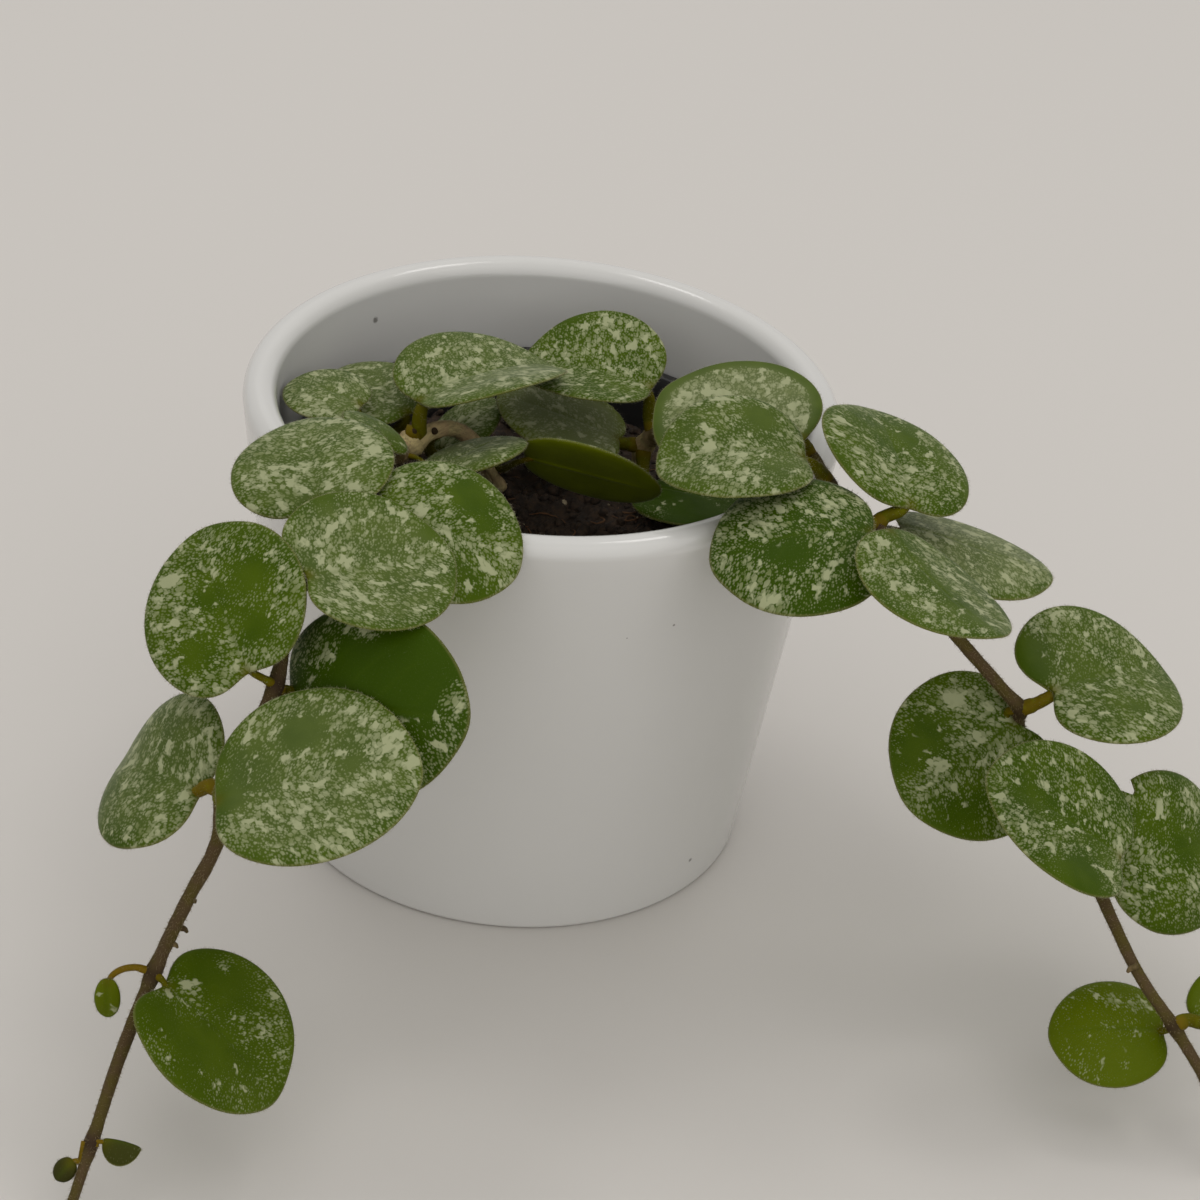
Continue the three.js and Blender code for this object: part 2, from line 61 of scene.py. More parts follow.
Array = np.ndarray
Pair = tuple[float, float]
Row = tuple[float, float, float]
Four = tuple[float, float, float, float]
Colour = Row


def table_box(node: str) -> Array:
    """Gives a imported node's lowest and highest corners in millimetres, as two rows of three."""
    return np.array(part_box(node), dtype=float) / MM


def unit(vectors: Array) -> Array:
    """Gives the vectors at length 1."""
    return vectors / np.linalg.norm(vectors, axis=-1, keepdims=True)


def ease(values: Array, low: float, high: float) -> Array:
    """Goes smoothly from 0 at low to 1 at high: t squared times (3 less 2 t)."""
    t = np.clip((values - low) / (high - low), 0.0, 1.0)
    return t * t * (3.0 - 2.0 * t)


def bell(values: Array) -> Array:
    """Gives 1 at 0 and less on both sides: e to the power of minus the square."""
    return np.exp(-(values**2))


def abreast(*parts: Array | float) -> Array:
    """Puts numbers abreast in a new last axis, each repeated where another has more."""
    return np.stack(np.broadcast_arrays(*parts), axis=-1)


def angles_round(count: int) -> Array:
    """Gives evenly spaced angles round a circle, in radians."""
    return TURN * np.arange(count) / count


def swung(across: Array, other: Array, angle: Array) -> Array:
    """Gives the direction at an angle from one direction across towards the other."""
    return across * np.cos(angle)[..., None] + other * np.sin(angle)[..., None]


def read_between(at: Array, places: Array, rows: Array) -> Array:
    """Reads rows of numbers, known at rising places, at other places between them."""
    return np.stack([np.interp(at, places, column) for column in rows.T], axis=1)


def lattice_noise(places: Array, seed: int) -> Array:
    """Gives smooth noise from -1 to 1 at points with three numbers in the last axis.

    Every whole-number place has a scrambled value, and the eight round a point are blended by
    eased weights.

    Args:
        places: Points, with three numbers in the last axis.
        seed: Picks another noise.

    Returns:
        One value for each point.
    """
    cell = np.floor(places).astype(np.int64)
    local = places - cell
    eased = local * local * (3.0 - 2.0 * local)
    total = np.zeros(places.shape[:-1])
    for corner in np.ndindex(2, 2, 2):
        x, y, z = np.moveaxis(cell + np.array(corner), -1, 0)
        mixed = (x * 73856093) ^ (y * 19349663) ^ (z * 83492791) ^ (seed * 2654435761)
        mixed = ((mixed ^ (mixed >> 13)) * 1274126177) & 0xFFFFFFFF
        mixed = mixed ^ (mixed >> 15)
        value = (mixed & 0xFFFF) / 32767.5 - 1.0
        weight = np.prod(np.where(np.array(corner) == 1, eased, 1.0 - eased), axis=-1)
        total += weight * value
    return total


class Surface:
    """Points with their faces and values, all as whole arrays, in millimetres."""

    def __init__(self, points: Array, quads: Array, triangles: Array, slot: int = 0) -> None:
        """Keeps the arrays.

        Args:
            points: One row of three for each point.
            quads: Four point numbers for each quad.
            triangles: Three point numbers for each triangle.
            slot: Which of the piece's finishes the faces take.
        """
        self.points = points
        self.quads = quads.astype(np.int64).reshape(-1, 4)
        self.triangles = triangles.astype(np.int64).reshape(-1, 3)
        self.quad_slots = np.full(len(self.quads), slot)
        self.triangle_slots = np.full(len(self.triangles), slot)
        self.values: dict[str, Array] = {}

    def outward(self) -> "Surface":
        """Turns the faces round if the volume that they enclose comes out negative.

        Returns:
            The same surface.
        """
        halves = np.concatenate([self.quads[:, [0, 1, 2]], self.quads[:, [0, 2, 3]], self.triangles])
        a, b, c = (self.points[halves[:, k]] for k in range(3))
        if np.einsum("ij,ij->i", a, np.cross(b, c)).sum() < 0:
            self.quads = self.quads[:, ::-1]
            self.triangles = self.triangles[:, ::-1]
        return self

    def with_value(self, name: str, value: Array | float | Row) -> "Surface":
        """Adds a named value to every point: one number or three for each, or the same for all.

        Args:
            name: The value's name.
            value: The number or numbers.

        Returns:
            The same surface.
        """
        given = np.asarray(value, dtype=float)
        three = (3,) if given.shape[-1:] == (3,) else ()
        self.values[name] = np.array(np.broadcast_to(given, (len(self.points), *three)))
        return self


def joined(surfaces: list[Surface]) -> Surface:
    """Puts surfaces in one, with zeros where one of them lacks a value that another has.

    Args:
        surfaces: The surfaces, in the order in which their points are kept.

    Returns:
        The one surface.
    """
    starts = np.cumsum([0] + [len(s.points) for s in surfaces])
    whole = Surface(
        np.concatenate([s.points for s in surfaces]),
        np.concatenate([s.quads + start for s, start in zip(surfaces, starts)]),
        np.concatenate([s.triangles + start for s, start in zip(surfaces, starts)]),
    )
    whole.quad_slots = np.concatenate([s.quad_slots for s in surfaces])
    whole.triangle_slots = np.concatenate([s.triangle_slots for s in surfaces])
    for name in {name for s in surfaces for name in s.values}:
        shape = next(s.values[name].shape[1:] for s in surfaces if name in s.values)
        whole.values[name] = np.concatenate(
            [s.values.get(name, np.zeros((len(s.points),) + shape)) for s in surfaces]
        )
    return whole


def skin(rings: Array, first: Array | Row, last: Array | Row, slot: int = 0) -> Surface:
    """Closes a stack of rings with a pole at each end, and turns the faces outwards.

    Args:
        rings: An array of rings, points and three numbers.
        first: The pole before the first ring.
        last: The pole after the last ring.
        slot: Which of the piece's finishes the faces take.

    Returns:
        The closed surface. Its points are the first pole, the rings in order, and the last
        pole.
    """
    count, around = rings.shape[:2]
    points = np.concatenate([[first], rings.reshape(-1, 3), [last]])
    j = np.arange(around)
    turn = (j + 1) % around
    row = 1 + around * np.arange(count - 1)[:, None]
    quads = abreast(row + j, row + turn, row + around + turn, row + around + j)
    base = 1 + around * (count - 1)
    caps = [abreast(0, 1 + turn, 1 + j), abreast(len(points) - 1, base + j, base + turn)]
    return Surface(points, quads, np.concatenate(caps), slot).outward()


def turned(profile: Array, sides: int) -> Surface:
    """Spins a profile about the Z axis. Its first and last points lie on the axis and are the poles.

    Args:
        profile: Rows of radius and height.
        sides: How many points go round.

    Returns:
        The closed surface.
    """
    angle = angles_round(sides)
    radius, height = profile[1:-1, :1], profile[1:-1, 1:]
    rings = abreast(radius * np.cos(angle), radius * np.sin(angle), height)
    return skin(rings, (0, 0, profile[0, 1]), (0, 0, profile[-1, 1]))


def arc(centre: Pair, radius: float, start: float, end: float, steps: int) -> Array:
    """Gives points on a circle's arc, from start to end in degrees, as rows of two."""
    angle = np.radians(np.linspace(start, end, steps + 1))
    return abreast(centre[0] + radius * np.cos(angle), centre[1] + radius * np.sin(angle))


def stretch(start: Pair, end: Pair, steps: int) -> Array:
    """Gives points on a straight line, without its two ends, as rows of two."""
    part = np.linspace(0, 1, steps + 2)[1:-1, None]
    return np.array(start) * (1 - part) + np.array(end) * part


def frames_along(centres: Array) -> tuple[Array, ...]:
    """Gives the direction of a path and two directions across it at every station.

    The first direction across is square to the path and to one fixed direction, which is the one
    of four that the path keeps furthest from.

    Args:
        centres: The stations of the path.

    Returns:
        The directions along, across and across the other way, each one row a station.
    """
    along = unit(np.gradient(centres, axis=0))
    choices = np.array([[1, 0, 0], [0, 1, 0], [0.6, 0.7, -0.4], [0.7, 0.1, 0.7]])
    clear = [np.linalg.norm(np.cross(along, choice), axis=-1).min() for choice in choices]
    across = unit(np.cross(along, choices[int(np.argmax(clear))]))
    return along, across, np.cross(along, across)


def tube(centres: Array, radii: Array, sides: int, slot: int = 0) -> Surface:
    """Carries a circle along a path and rounds off both ends.

    The poles lie beyond the first and the last ring, by half the mean radius there.

    Args:
        centres: The stations of the path.
        radii: A radius for each station, or for each station and side.
        sides: How many points go round.
        slot: Which of the piece's finishes the faces take.

    Returns:
        The closed tube.
    """
    along, across, other = frames_along(centres)
    wide = np.broadcast_to(np.reshape(radii, (len(centres), -1)), (len(centres), sides))
    circle = swung(across[:, None], other[:, None], angles_round(sides))
    rings = centres[:, None] + wide[..., None] * circle
    first = centres[0] - along[0] * wide[0].mean() * 0.5
    last = centres[-1] + along[-1] * wide[-1].mean() * 0.5
    return skin(rings, first, last, slot)


def hairs(roots: Array, directions: Array, lengths: Array, width: float, slot: int) -> Surface:
    """Makes one slim spike on each root, with three sides and a closed foot.

    The foot is a triangle round the root, a little under the surface, and the tip lies the length
    away along the direction. A hair that would reach below the table is bent up to it.

    Args:
        roots: Where the hairs stand.
        directions: Which way they point.
        lengths: How long each one is.
        width: The radius of the foot.
        slot: Which of the piece's finishes the faces take.

    Returns:
        All the hairs as one surface.
    """
    heading = unit(directions)
    level = np.abs(heading[:, 2:3]) < 0.8
    helper = np.where(level, np.array([[0.0, 0.0, 1.0]]), np.array([[1.0, 0.0, 0.0]]))
    across = unit(np.cross(heading, helper))
    circle = swung(across[:, None], np.cross(heading, across)[:, None], angles_round(3))
    foot = (roots - heading * width)[:, None] + width * circle
    tip = (roots + heading * lengths[:, None])[:, None]
    points = np.concatenate([foot, tip], axis=1).reshape(-1, 3)
    points[:, 2] = np.maximum(points[:, 2], 0.0)
    pattern = np.array([[0, 1, 3], [1, 2, 3], [2, 0, 3], [0, 2, 1]])
    triangles = (pattern + 4 * np.arange(len(roots))[:, None, None]).reshape(-1, 3)
    return Surface(points, np.zeros((0, 4)), triangles, slot)


class Tone:
    """One output of a shader node. Python's operators on it add Math nodes."""

    def __init__(self, dress: "Dress", socket: bpy.types.NodeSocket) -> None:
        """Keeps the socket and the material that it is in."""
        self.dress = dress
        self.socket = socket

    def math(self, operation: str, *values: "Tone | float") -> "Tone":
        """Adds a Math node on two values."""
        return self.dress.node("ShaderNodeMath", {"operation": operation}, dict(enumerate(values)))

    def __add__(self, other: "Tone | float") -> "Tone":
        """Adds."""
        return self.math("ADD", self, other)

    def __sub__(self, other: "Tone | float") -> "Tone":
        """Takes the other away."""
        return self.math("SUBTRACT", self, other)

    def __rsub__(self, other: float) -> "Tone":
        """Takes this away from a number."""
        return self.math("SUBTRACT", other, self)

    def __mul__(self, other: "Tone | float") -> "Tone":
        """Multiplies."""
        return self.math("MULTIPLY", self, other)

    __radd__ = __add__
    __rmul__ = __mul__

    def most(self, other: "Tone | float") -> "Tone":
        """Gives the larger of the two."""
        return self.math("MAXIMUM", self, other)

    def ease(self, low: float, high: float) -> "Tone":
        """Goes smoothly from 0 at low to 1 at high."""
        settings = {"interpolation_type": "SMOOTHSTEP"}
        return self.dress.node("ShaderNodeMapRange", settings, {0: self, 1: low, 2: high, 3: 0.0, 4: 1.0})


class Dress:
    """Builds one material out of nodes."""

    def __init__(self, name: str) -> None:
        """Starts an empty material.

        Args:
            name: The material's name.
        """
        self.material = bpy.data.materials.new(name)
        self.material.use_nodes = True
        self.tree = self.material.node_tree
        self.tree.nodes.clear()

    def node(
        self,
        kind: str,
        settings: dict[str, object] | None = None,
        values: dict[int | str, object] | None = None,
        output: int | str = 0,
    ) -> Tone:
        """Adds a node. A socket takes a number, a colour, or the Tone of another node as a link.

        Args:
            kind: The node's type.
            settings: Its own settings, which are set first.
            values: What goes into its sockets, by their number or name.
            output: Which of its outputs is given back.

        Returns:
            The output.
        """
        made = self.tree.nodes.new(kind)
        for name, setting in (settings or {}).items():
            setattr(made, name, setting)
        for key, value in (values or {}).items():
            socket = made.inputs[key]
            if isinstance(value, Tone):
                self.tree.links.new(value.socket, socket)
            elif isinstance(value, tuple) and len(value) == 3 and socket.type == "RGBA":
                socket.default_value = (*value, 1.0)
            else:
                socket.default_value = value
        return Tone(self, made.outputs[output])

    def places(self) -> Tone:
        """Gives the point's place on the object, in metres."""
        return self.node("ShaderNodeTexCoord", output="Object")

    def value(self, name: str, output: str = "Fac") -> Tone:
        """Gives a value that the mesh carries: Fac for one number, Vector for three."""
        return self.node("ShaderNodeAttribute", {"attribute_name": name}, output=output)

    def split(self, vector: Tone) -> tuple[Tone, Tone, Tone]:
        """Takes a vector's three numbers apart.

        Args:
            vector: The vector.

        Returns:
            The three numbers.
        """
        x = self.node("ShaderNodeSeparateXYZ", values={0: vector})
        outputs = x.socket.node.outputs
        return x, Tone(self, outputs[1]), Tone(self, outputs[2])

    def stretched(self, vector: Tone, scale: Row) -> Tone:
        """Multiplies a pattern's coordinates."""
        return self.node("ShaderNodeMapping", values={"Vector": vector, "Scale": scale})

    def vector(self, operation: str, values: dict[int | str, object], output: str = "Vector") -> Tone:
        """Adds a Vector Math node."""
        return self.node("ShaderNodeVectorMath", {"operation": operation}, values, output)

    def clouds(self, vector: Tone, scale: float, detail: float = 2.0, rough: float = 0.5) -> Tone:
        """Gives soft noise round 0.5."""
        values = {"Vector": vector, "Scale": scale, "Detail": detail, "Roughness": rough}
        return self.node("ShaderNodeTexNoise", values=values)

    def cells(self, vector: Tone, scale: float) -> tuple[Tone, Tone]:
        """Gives the distance to the nearest of many points strewn on a plane, and its own chance.

        Args:
            vector: The pattern's coordinates.
            scale: How many points there are to a unit.

        Returns:
            The distance, as a share of the spacing, and the chance, from 0 to 1.
        """
        settings = {"voronoi_dimensions": "2D"}
        away = self.node("ShaderNodeTexVoronoi", settings, {"Vector": vector, "Scale": scale}, "Distance")
        return away, self.split(Tone(self, away.socket.node.outputs["Color"]))[0]

    def blend(self, share: Tone | float, first: Tone | Colour, second: Tone | Colour) -> Tone:
        """Blends two colours by a share of the second."""
        return self.node("ShaderNodeMix", {"data_type": "RGBA"}, {0: share, 6: first, 7: second}, 2)

    def bump(self, height: Tone, depth: float, strength: float = 1.0) -> Tone:
        """Turns a height of 0 to 1 into a normal. The depth is in millimetres."""
        values = {"Height": height, "Distance": depth * MM, "Strength": strength}
        return self.node("ShaderNodeBump", values=values)

    def done(self, sockets: dict[str, object]) -> bpy.types.Material:
        """Closes the material with a Principled shader.

        Args:
            sockets: The shader's socket names with numbers, colours or Tones.

        Returns:
            The material.
        """
        shader = self.node("ShaderNodeBsdfPrincipled", values=sockets)
        end = self.tree.nodes.new("ShaderNodeOutputMaterial")
        self.tree.links.new(shader.socket, end.inputs["Surface"])
        return self.material


def darker(colour: Colour, share: float) -> Colour:
    """Gives a colour with only this share of its light."""
    return tuple(share * part for part in colour)


def hair_material(name: str, hair: Colour, roughness: float) -> bpy.types.Material:
    """Builds the look of short pale hairs, some darker than others.

    Args:
        name: The material's name.
        hair: The colour of the palest hairs.
        roughness: How dull they are.

    Returns:
        The material.
    """
    dress = Dress(name)
    change = dress.clouds(dress.places(), 900.0).ease(0.3, 0.7)
    colour = dress.blend(change, darker(hair, 0.6), hair)
    return dress.done({"Base Color": colour, "Roughness": roughness})


class Slot(Enum):
    """The record's material slots."""

    GLAZE = "cover_pot_glaze"
    PLASTIC = "growing_pot_plastic"
    SOIL = "potting_soil"
    BARK = "vine_bark"
    LEAF = "splashed_leaf"
    YOUNG = "young_leaf"


@dataclass(frozen=True)
class WhiteGlaze:
    """Smooth white glaze with a soft shine. Its dark specks are each a place and a radius."""

    white: Colour = (0.59, 0.583, 0.563)
    speck: Colour = (0.09, 0.08, 0.07)
    roughness: float = 0.2
    coat: float = 0.5
    specks: tuple[Four, ...] = (
        (-30.5, 31.7, 75.5, 0.6),
        (23.7, -42.0, 64.9, 0.24),
        (16.3, -45.1, 63.8, 0.16),
        (31.6, -26.2, 7.3, 0.45),
    )

    def material(self) -> bpy.types.Material:
        """Builds the material.

        Returns:
            The material.
        """
        dress = Dress("white_glaze")
        place = dress.places()
        drift = dress.clouds(place, 22.0, 3.0)
        colour = dress.blend(drift.ease(0.3, 0.7), self.white, darker(self.white, 0.985))
        for *centre, radius in (tuple(part * MM for part in speck) for speck in self.specks):
            away = dress.vector("DISTANCE", {0: place, 1: tuple(centre)}, "Value")
            grain = dress.clouds(place, 2500.0) * (0.8 * radius)
            mark = 1.0 - (away + grain).ease(0.9 * radius, 1.6 * radius)
            colour = dress.blend(mark * 0.75, colour, self.speck)
        ripple = dress.clouds(dress.stretched(place, (1.0, 1.0, 2.5)), 60.0, 2.0)
        return dress.done(
            {
                "Base Color": colour,
                "Roughness": self.roughness + drift * 0.06,
                "Coat Weight": self.coat,
                "Coat Roughness": 0.08,
                "Normal": dress.bump(ripple, 0.05, 0.35),
            }
        )


@dataclass(frozen=True)
class BlackPlastic:
    """Thin black moulded plastic with a satin face, fine scratches and some dust."""

    black: Colour = (0.014, 0.014, 0.014)
    dust: Colour = (0.09, 0.075, 0.06)

    def material(self) -> bpy.types.Material:
        """Builds the material.

        Returns:
            The material.
        """
        dress = Dress("black_plastic")
        place = dress.places()
        rub = dress.clouds(dress.stretched(place, (1.0, 1.0, 8.0)), 180.0, 4.0, 0.65)
        dusty_and_sheen_haze = dress.clouds(place, 300.0, 4.0, 0.7).ease(0.56, 0.72)
        return dress.done(
            {
                "Base Color": dress.blend(dusty_and_sheen_haze * 0.5, self.black, self.dust),
                "Roughness": 0.34 + rub * 0.3,
                "Normal": dress.bump(rub, 0.08, 0.4),
            }
        )


@dataclass(frozen=True)
class PottingMix:
    """Dark, damp peat with lighter fibres and a few pale grains."""

    dark: Colour = (0.022, 0.014, 0.009)
    brown: Colour = (0.06, 0.036, 0.02)
    fibre: Colour = (0.16, 0.075, 0.03)
    pale: Colour = (0.38, 0.31, 0.2)

    def material(self) -> bpy.types.Material:
        """Builds the material. The value tint is 0 on peat, 1 on fibres and 2 on pale grains.

        Returns:
            The material.
        """
        dress = Dress("potting_mix")
        place = dress.places()
        tint = dress.value("tint")
        mottle = dress.clouds(place, 700.0, 5.0, 0.7)
        peat = dress.blend(mottle.ease(0.38, 0.66), self.dark, self.brown)
        colour = dress.blend(tint.ease(0.1, 1.0) * (0.4 + mottle), peat, self.fibre)
        colour = dress.blend(tint.ease(1.2, 2.0), colour, self.pale)
        return dress.done(
            {
                "Base Color": colour,
                "Roughness": 0.78 + mottle * 0.3,
                "Normal": dress.bump(dress.clouds(place, 1800.0, 4.0, 0.7), 0.35, 0.9),
            }
        )


@dataclass(frozen=True)
class Bark:
    """The stem's skin: brown and finely cracked, tan and smoother where it is old and woody."""

    brown: Colour = (0.088, 0.057, 0.026)
    olive: Colour = (0.084, 0.064, 0.014)
    tan: Colour = (0.52, 0.42, 0.20)
    pink: Colour = (0.42, 0.24, 0.15)
    scar: Colour = (0.030, 0.016, 0.009)
    hair: Colour = (0.34, 0.26, 0.13)
    gloss: float = 0.15

    def materials(self) -> list[bpy.types.Material]:
        """Builds the skin and its hairs.

        The value wood is three numbers: how old the stem is there, how near a joint it is, and
        how much of a scar it is. The value wrap is millimetres round and along the stem.

        Returns:
            The skin's material and the hairs' material.
        """
        dress = Dress("stem_bark")
        age, joint, scar = dress.split(dress.value("wood", "Vector"))
        wrap = dress.value("wrap", "Vector")
        streak = dress.clouds(dress.stretched(wrap, (2.2, 0.45, 1.0)), 1.6, 4.0, 0.65)
        patch = dress.clouds(wrap, 0.35, 3.0)
        skin_colour = dress.blend(patch.ease(0.35, 0.65), self.brown, self.olive)
        woody = dress.blend(streak.ease(0.3, 0.62), darker(self.tan, 0.62), self.tan)
        woody = dress.blend(patch.ease(0.45, 0.6) * 0.35, woody, self.pink)
        colour = dress.blend((age + (patch - 0.5) * 0.9).ease(0.35, 0.7), skin_colour, woody)
        colour = dress.blend(joint * (1.0 - age) * 0.75, colour, self.scar)
        colour = dress.blend(scar, colour, self.scar)
        crack = dress.clouds(dress.stretched(wrap, (2.6, 0.7, 1.0)), 3.0, 4.0, 0.7)
        skin_material = dress.done(
            {
                "Base Color": colour,
                "Roughness": 0.68 + streak * 0.2,
                "Specular IOR Level": self.gloss,
                "Normal": dress.bump(crack, 0.3, 0.8),
            }
        )
        return [skin_material, hair_material("stem_hair", self.hair, 0.8)]


@dataclass(frozen=True)
class SplashedSkin:
    """The leaf's waxy skin: deep green with silver splashes, on top only, and a plain underside."""

    deep: Colour = (0.038, 0.070, 0.001)
    mid: Colour = (0.056, 0.092, 0.002)
    young: Colour = (0.090, 0.120, 0.001)
    # Painted shade: the dark green that leaves lying in shade are blended towards, through a youth below
    # 0.
    dark: Colour = (0.030, 0.060, 0.0003)
    bronze: Colour = (0.036, 0.036, 0.007)
    silver: Colour = (0.34, 0.36, 0.205)
    faint: Colour = (0.175, 0.205, 0.078)
    # Painted sheen: a pale grey-green haze blended over leaves that face up, in place of the glossy
    # reflection of the bright room.
    dusty_and_sheen_haze: Colour = (0.185, 0.205, 0.10)
    under: Colour = (0.145, 0.180, 0.002)
    margin: Colour = (0.16, 0.155, 0.05)
    stalk: Colour = (0.085, 0.078, 0.001)
    blush: Colour = (0.20, 0.105, 0.008)
    hair: Colour = (0.42, 0.40, 0.24)
    roughness: float = 0.38
    gloss: float = 0.05
    sheen_level: float = 0.10

    def materials(self) -> list[bpy.types.Material]:
        """Builds the blade's skin, the stalk's skin and the hairs."""
        return [self._blade(), self._stalk(), hair_material("leaf_hair", self.hair, 0.75)]

    def _splash(self, dress: Dress, density: Tone, rim: Tone) -> tuple[Tone, Tone]:
        """Works out where the silver lies.

        The grain runs along the veins, so every pattern is stretched along them. The blotches are
        soft noise, cut off at a level that falls as the density rises. The flecks and the specks
        are round spots strewn on two grids, and their size grows with the density. The specks
        crowd by the rim.

        Args:
            dress: The material.
            density: How much silver there is here, 0 to 1.
            rim: How near the margin the point is, 0 to 1.

        Returns:
            The mask of the silver, and how bright it is.
        """
        grain = dress.value("grain", "Vector")
        noise = {"Vector": grain, "Scale": 1.3, "Detail": 1.0}
        warp = dress.node("ShaderNodeTexNoise", values=noise, output="Color")
        warp = dress.vector("SUBTRACT", {0: warp, 1: (0.5, 0.5, 0.5)})
        warp = dress.vector("SCALE", {0: warp, "Scale": 0.9})
        drift = dress.vector("ADD", {0: grain, 1: warp})
        blotch = dress.clouds(drift, 0.50, 2.0, 0.5)
        fleck_away, fleck_chance = dress.cells(drift, 0.95)
        speck_away, speck_chance = dress.cells(grain, 2.3)
        fleck_size = (density * (fleck_chance + 0.15)).ease(0.05, 0.75) * 0.42
        speck_size = ((density + rim * 0.25) * (speck_chance + 0.35)).ease(0.05, 0.75) * 0.42
        masks = (
            (blotch + density * 0.16).ease(0.67, 0.76) * density.ease(0.02, 0.2) * 0.95,
            (fleck_size - fleck_away).ease(-0.07, 0.12) * 0.72,
            (speck_size - speck_away).ease(-0.14, 0.18) * 0.5,
        )
        mask = masks[0].most(masks[1]).most(masks[2])
        bright = (blotch * 1.4 + density * 0.2).ease(0.50, 1.0)
        return mask, bright

    def _blade(self) -> bpy.types.Material:
        """Builds the blade's skin.

        The value habit is three numbers: the density of the silver, how young the leaf is, and
        how far out to the margin the point lies; below 0 the second number is painted shade.
        Side is 1 on top and 0 below, and vein is 1 on a vein. Another value says how much painted
        sheen, a pale haze that stands in for the glossy reflection of the bright room, lies on it.

        Returns:
            The material.
        """
        dress = Dress("leaf_skin")
        density, youth_and_painted_shade, out = dress.split(dress.value("habit", "Vector"))
        side = dress.value("side")
        vein = dress.value("vein")
        place = dress.places()
        mask, bright = self._splash(dress, density, out.ease(0.75, 0.95))
        tone = dress.clouds(place, 160.0, 3.0)
        green = dress.blend(tone.ease(0.3, 0.7), self.deep, self.mid)
        # Painted shade: a youth below 0 blends the green towards the dark colour, on leaves that lie in
        # shade.
        green = dress.blend((-1.0 * youth_and_painted_shade).ease(0.0, 1.0), green, self.dark)
        green = dress.blend(youth_and_painted_shade.ease(0.0, 1.0), green, self.young)
        green = dress.blend(youth_and_painted_shade.ease(1.0, 2.0), green, self.bronze)
        green = dress.blend(vein * 0.4, green, self.mid)
        # Painted sheen: each leaf's share of the haze, patchy with the tone noise and thinner towards the
        # rim, as the glossy reflection would be.
        sheen_level = dress.value("dust") * (tone * 0.8 + 0.75) * (1.0 - out.ease(0.72, 1.0) * 0.8)
        green = dress.blend(sheen_level, green, self.dusty_and_sheen_haze)
        silver = dress.blend(bright, self.faint, self.silver)
        top = dress.blend(mask * (1.0 - vein * 0.4), green, silver)
        under = dress.blend(tone.ease(0.3, 0.7), self.under, darker(self.under, 0.8))
        colour = dress.blend(side.ease(0.3, 0.7), under, top)
        colour = dress.blend(out.ease(0.975, 0.995) * 0.45, colour, self.margin)
        colour = dress.blend(dress.value("reach") * 0.7, colour, self.stalk)
        grain = dress.clouds(place, 2600.0, 2.0)
        return dress.done(
            {
                "Base Color": colour,
                "Roughness": self.roughness + mask * 0.1 + grain * 0.08,
                "Specular IOR Level": self.gloss,
                "Sheen Weight": self.sheen_level,
                "Sheen Roughness": 0.3,
                "Normal": dress.bump(grain + mask * 0.4, 0.05, 0.5),
            }
        )

    def _stalk(self) -> bpy.types.Material:
        """Builds the stalk's skin.

        The value reach goes from 0 at the stem to 1 at the blade, and the first number of the value
        habit says how rusty the stalk is.

        Returns:
            The material.
        """
        dress = Dress("leaf_stalk")
        reach = dress.value("reach")
        rust = dress.split(dress.value("habit", "Vector"))[0]
        streak = dress.clouds(dress.places(), 700.0, 3.0)
        ends = reach.ease(0.8, 1.0).most((1.0 - reach).ease(0.85, 1.0)) * 0.5
        colour = dress.blend(rust.most(ends) * (0.4 + streak * 0.8), self.stalk, self.blush)
        return dress.done(
            {
                "Base Color": dress.blend(streak.ease(0.5, 0.8) * 0.4, colour, self.under),
                "Roughness": 0.5 + streak * 0.15,
                "Specular IOR Level": self.gloss,
                "Normal": dress.bump(streak, 0.15, 0.6),
            }
        )


@dataclass(frozen=True)
class PaleTable:
    """The plain pale surface that the pot stands on."""

    pale: Colour = (0.608, 0.582, 0.552)

    def material(self) -> bpy.types.Material:
        """Builds the material.

        Returns:
            The material.
        """
        dress = Dress("pale_table")
        haze = dress.clouds(dress.places(), 6.0, 2.0)
        return dress.done({"Base Color": self.pale, "Roughness": 0.55 + haze * 0.08})


def show(name: str, surface: Surface, dresses: list[bpy.types.Material]) -> bpy.types.Object:
    """Makes an object of a surface, with its values as attributes.

    Args:
        name: The piece's name.
        surface: Its shape, in millimetres.
        dresses: Its materials, in the order of the surface's slots.

    Returns:
        The object, at the origin.
    """
    mesh = bpy.data.meshes.new(name)
    corners = np.concatenate([surface.quads.ravel(), surface.triangles.ravel()])
    quads, triangles = len(surface.quads), len(surface.triangles)
    starts = np.concatenate([4 * np.arange(quads), 4 * quads + 3 * np.arange(triangles)])
    mesh.vertices.add(len(surface.points))
    mesh.vertices.foreach_set("co", (surface.points * MM).astype(np.float32).ravel())
    mesh.loops.add(len(corners))
    mesh.loops.foreach_set("vertex_index", corners.astype(np.int32))
    mesh.polygons.add(quads + triangles)
    mesh.polygons.foreach_set("loop_start", starts.astype(np.int32))
    slots = np.concatenate([surface.quad_slots, surface.triangle_slots])
    for dress in dresses:
        mesh.materials.append(dress)
    mesh.polygons.foreach_set("material_index", slots.astype(np.int32))
    mesh.polygons.foreach_set("use_smooth", np.ones(len(starts), dtype=bool))
    mesh.update(calc_edges=True)
    for value_name, value in surface.values.items():
        kind, key = ("FLOAT_VECTOR", "vector") if value.ndim == 2 else ("FLOAT", "value")
        attribute = mesh.attributes.new(value_name, kind, "POINT")
        attribute.data.foreach_set(key, value.astype(np.float32).ravel())
    piece = bpy.data.objects.new(name, mesh)
    bpy.context.scene.collection.objects.link(piece)
    return piece


def settle(piece: bpy.types.Object, node: str) -> None:
    """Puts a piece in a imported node's stead.

    Args:
        piece: The piece.
        node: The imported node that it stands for.
    """
    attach(piece, "root")
    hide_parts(node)
    log.info("%s stands for %s with %d faces", piece.name, node, len(piece.data.polygons))


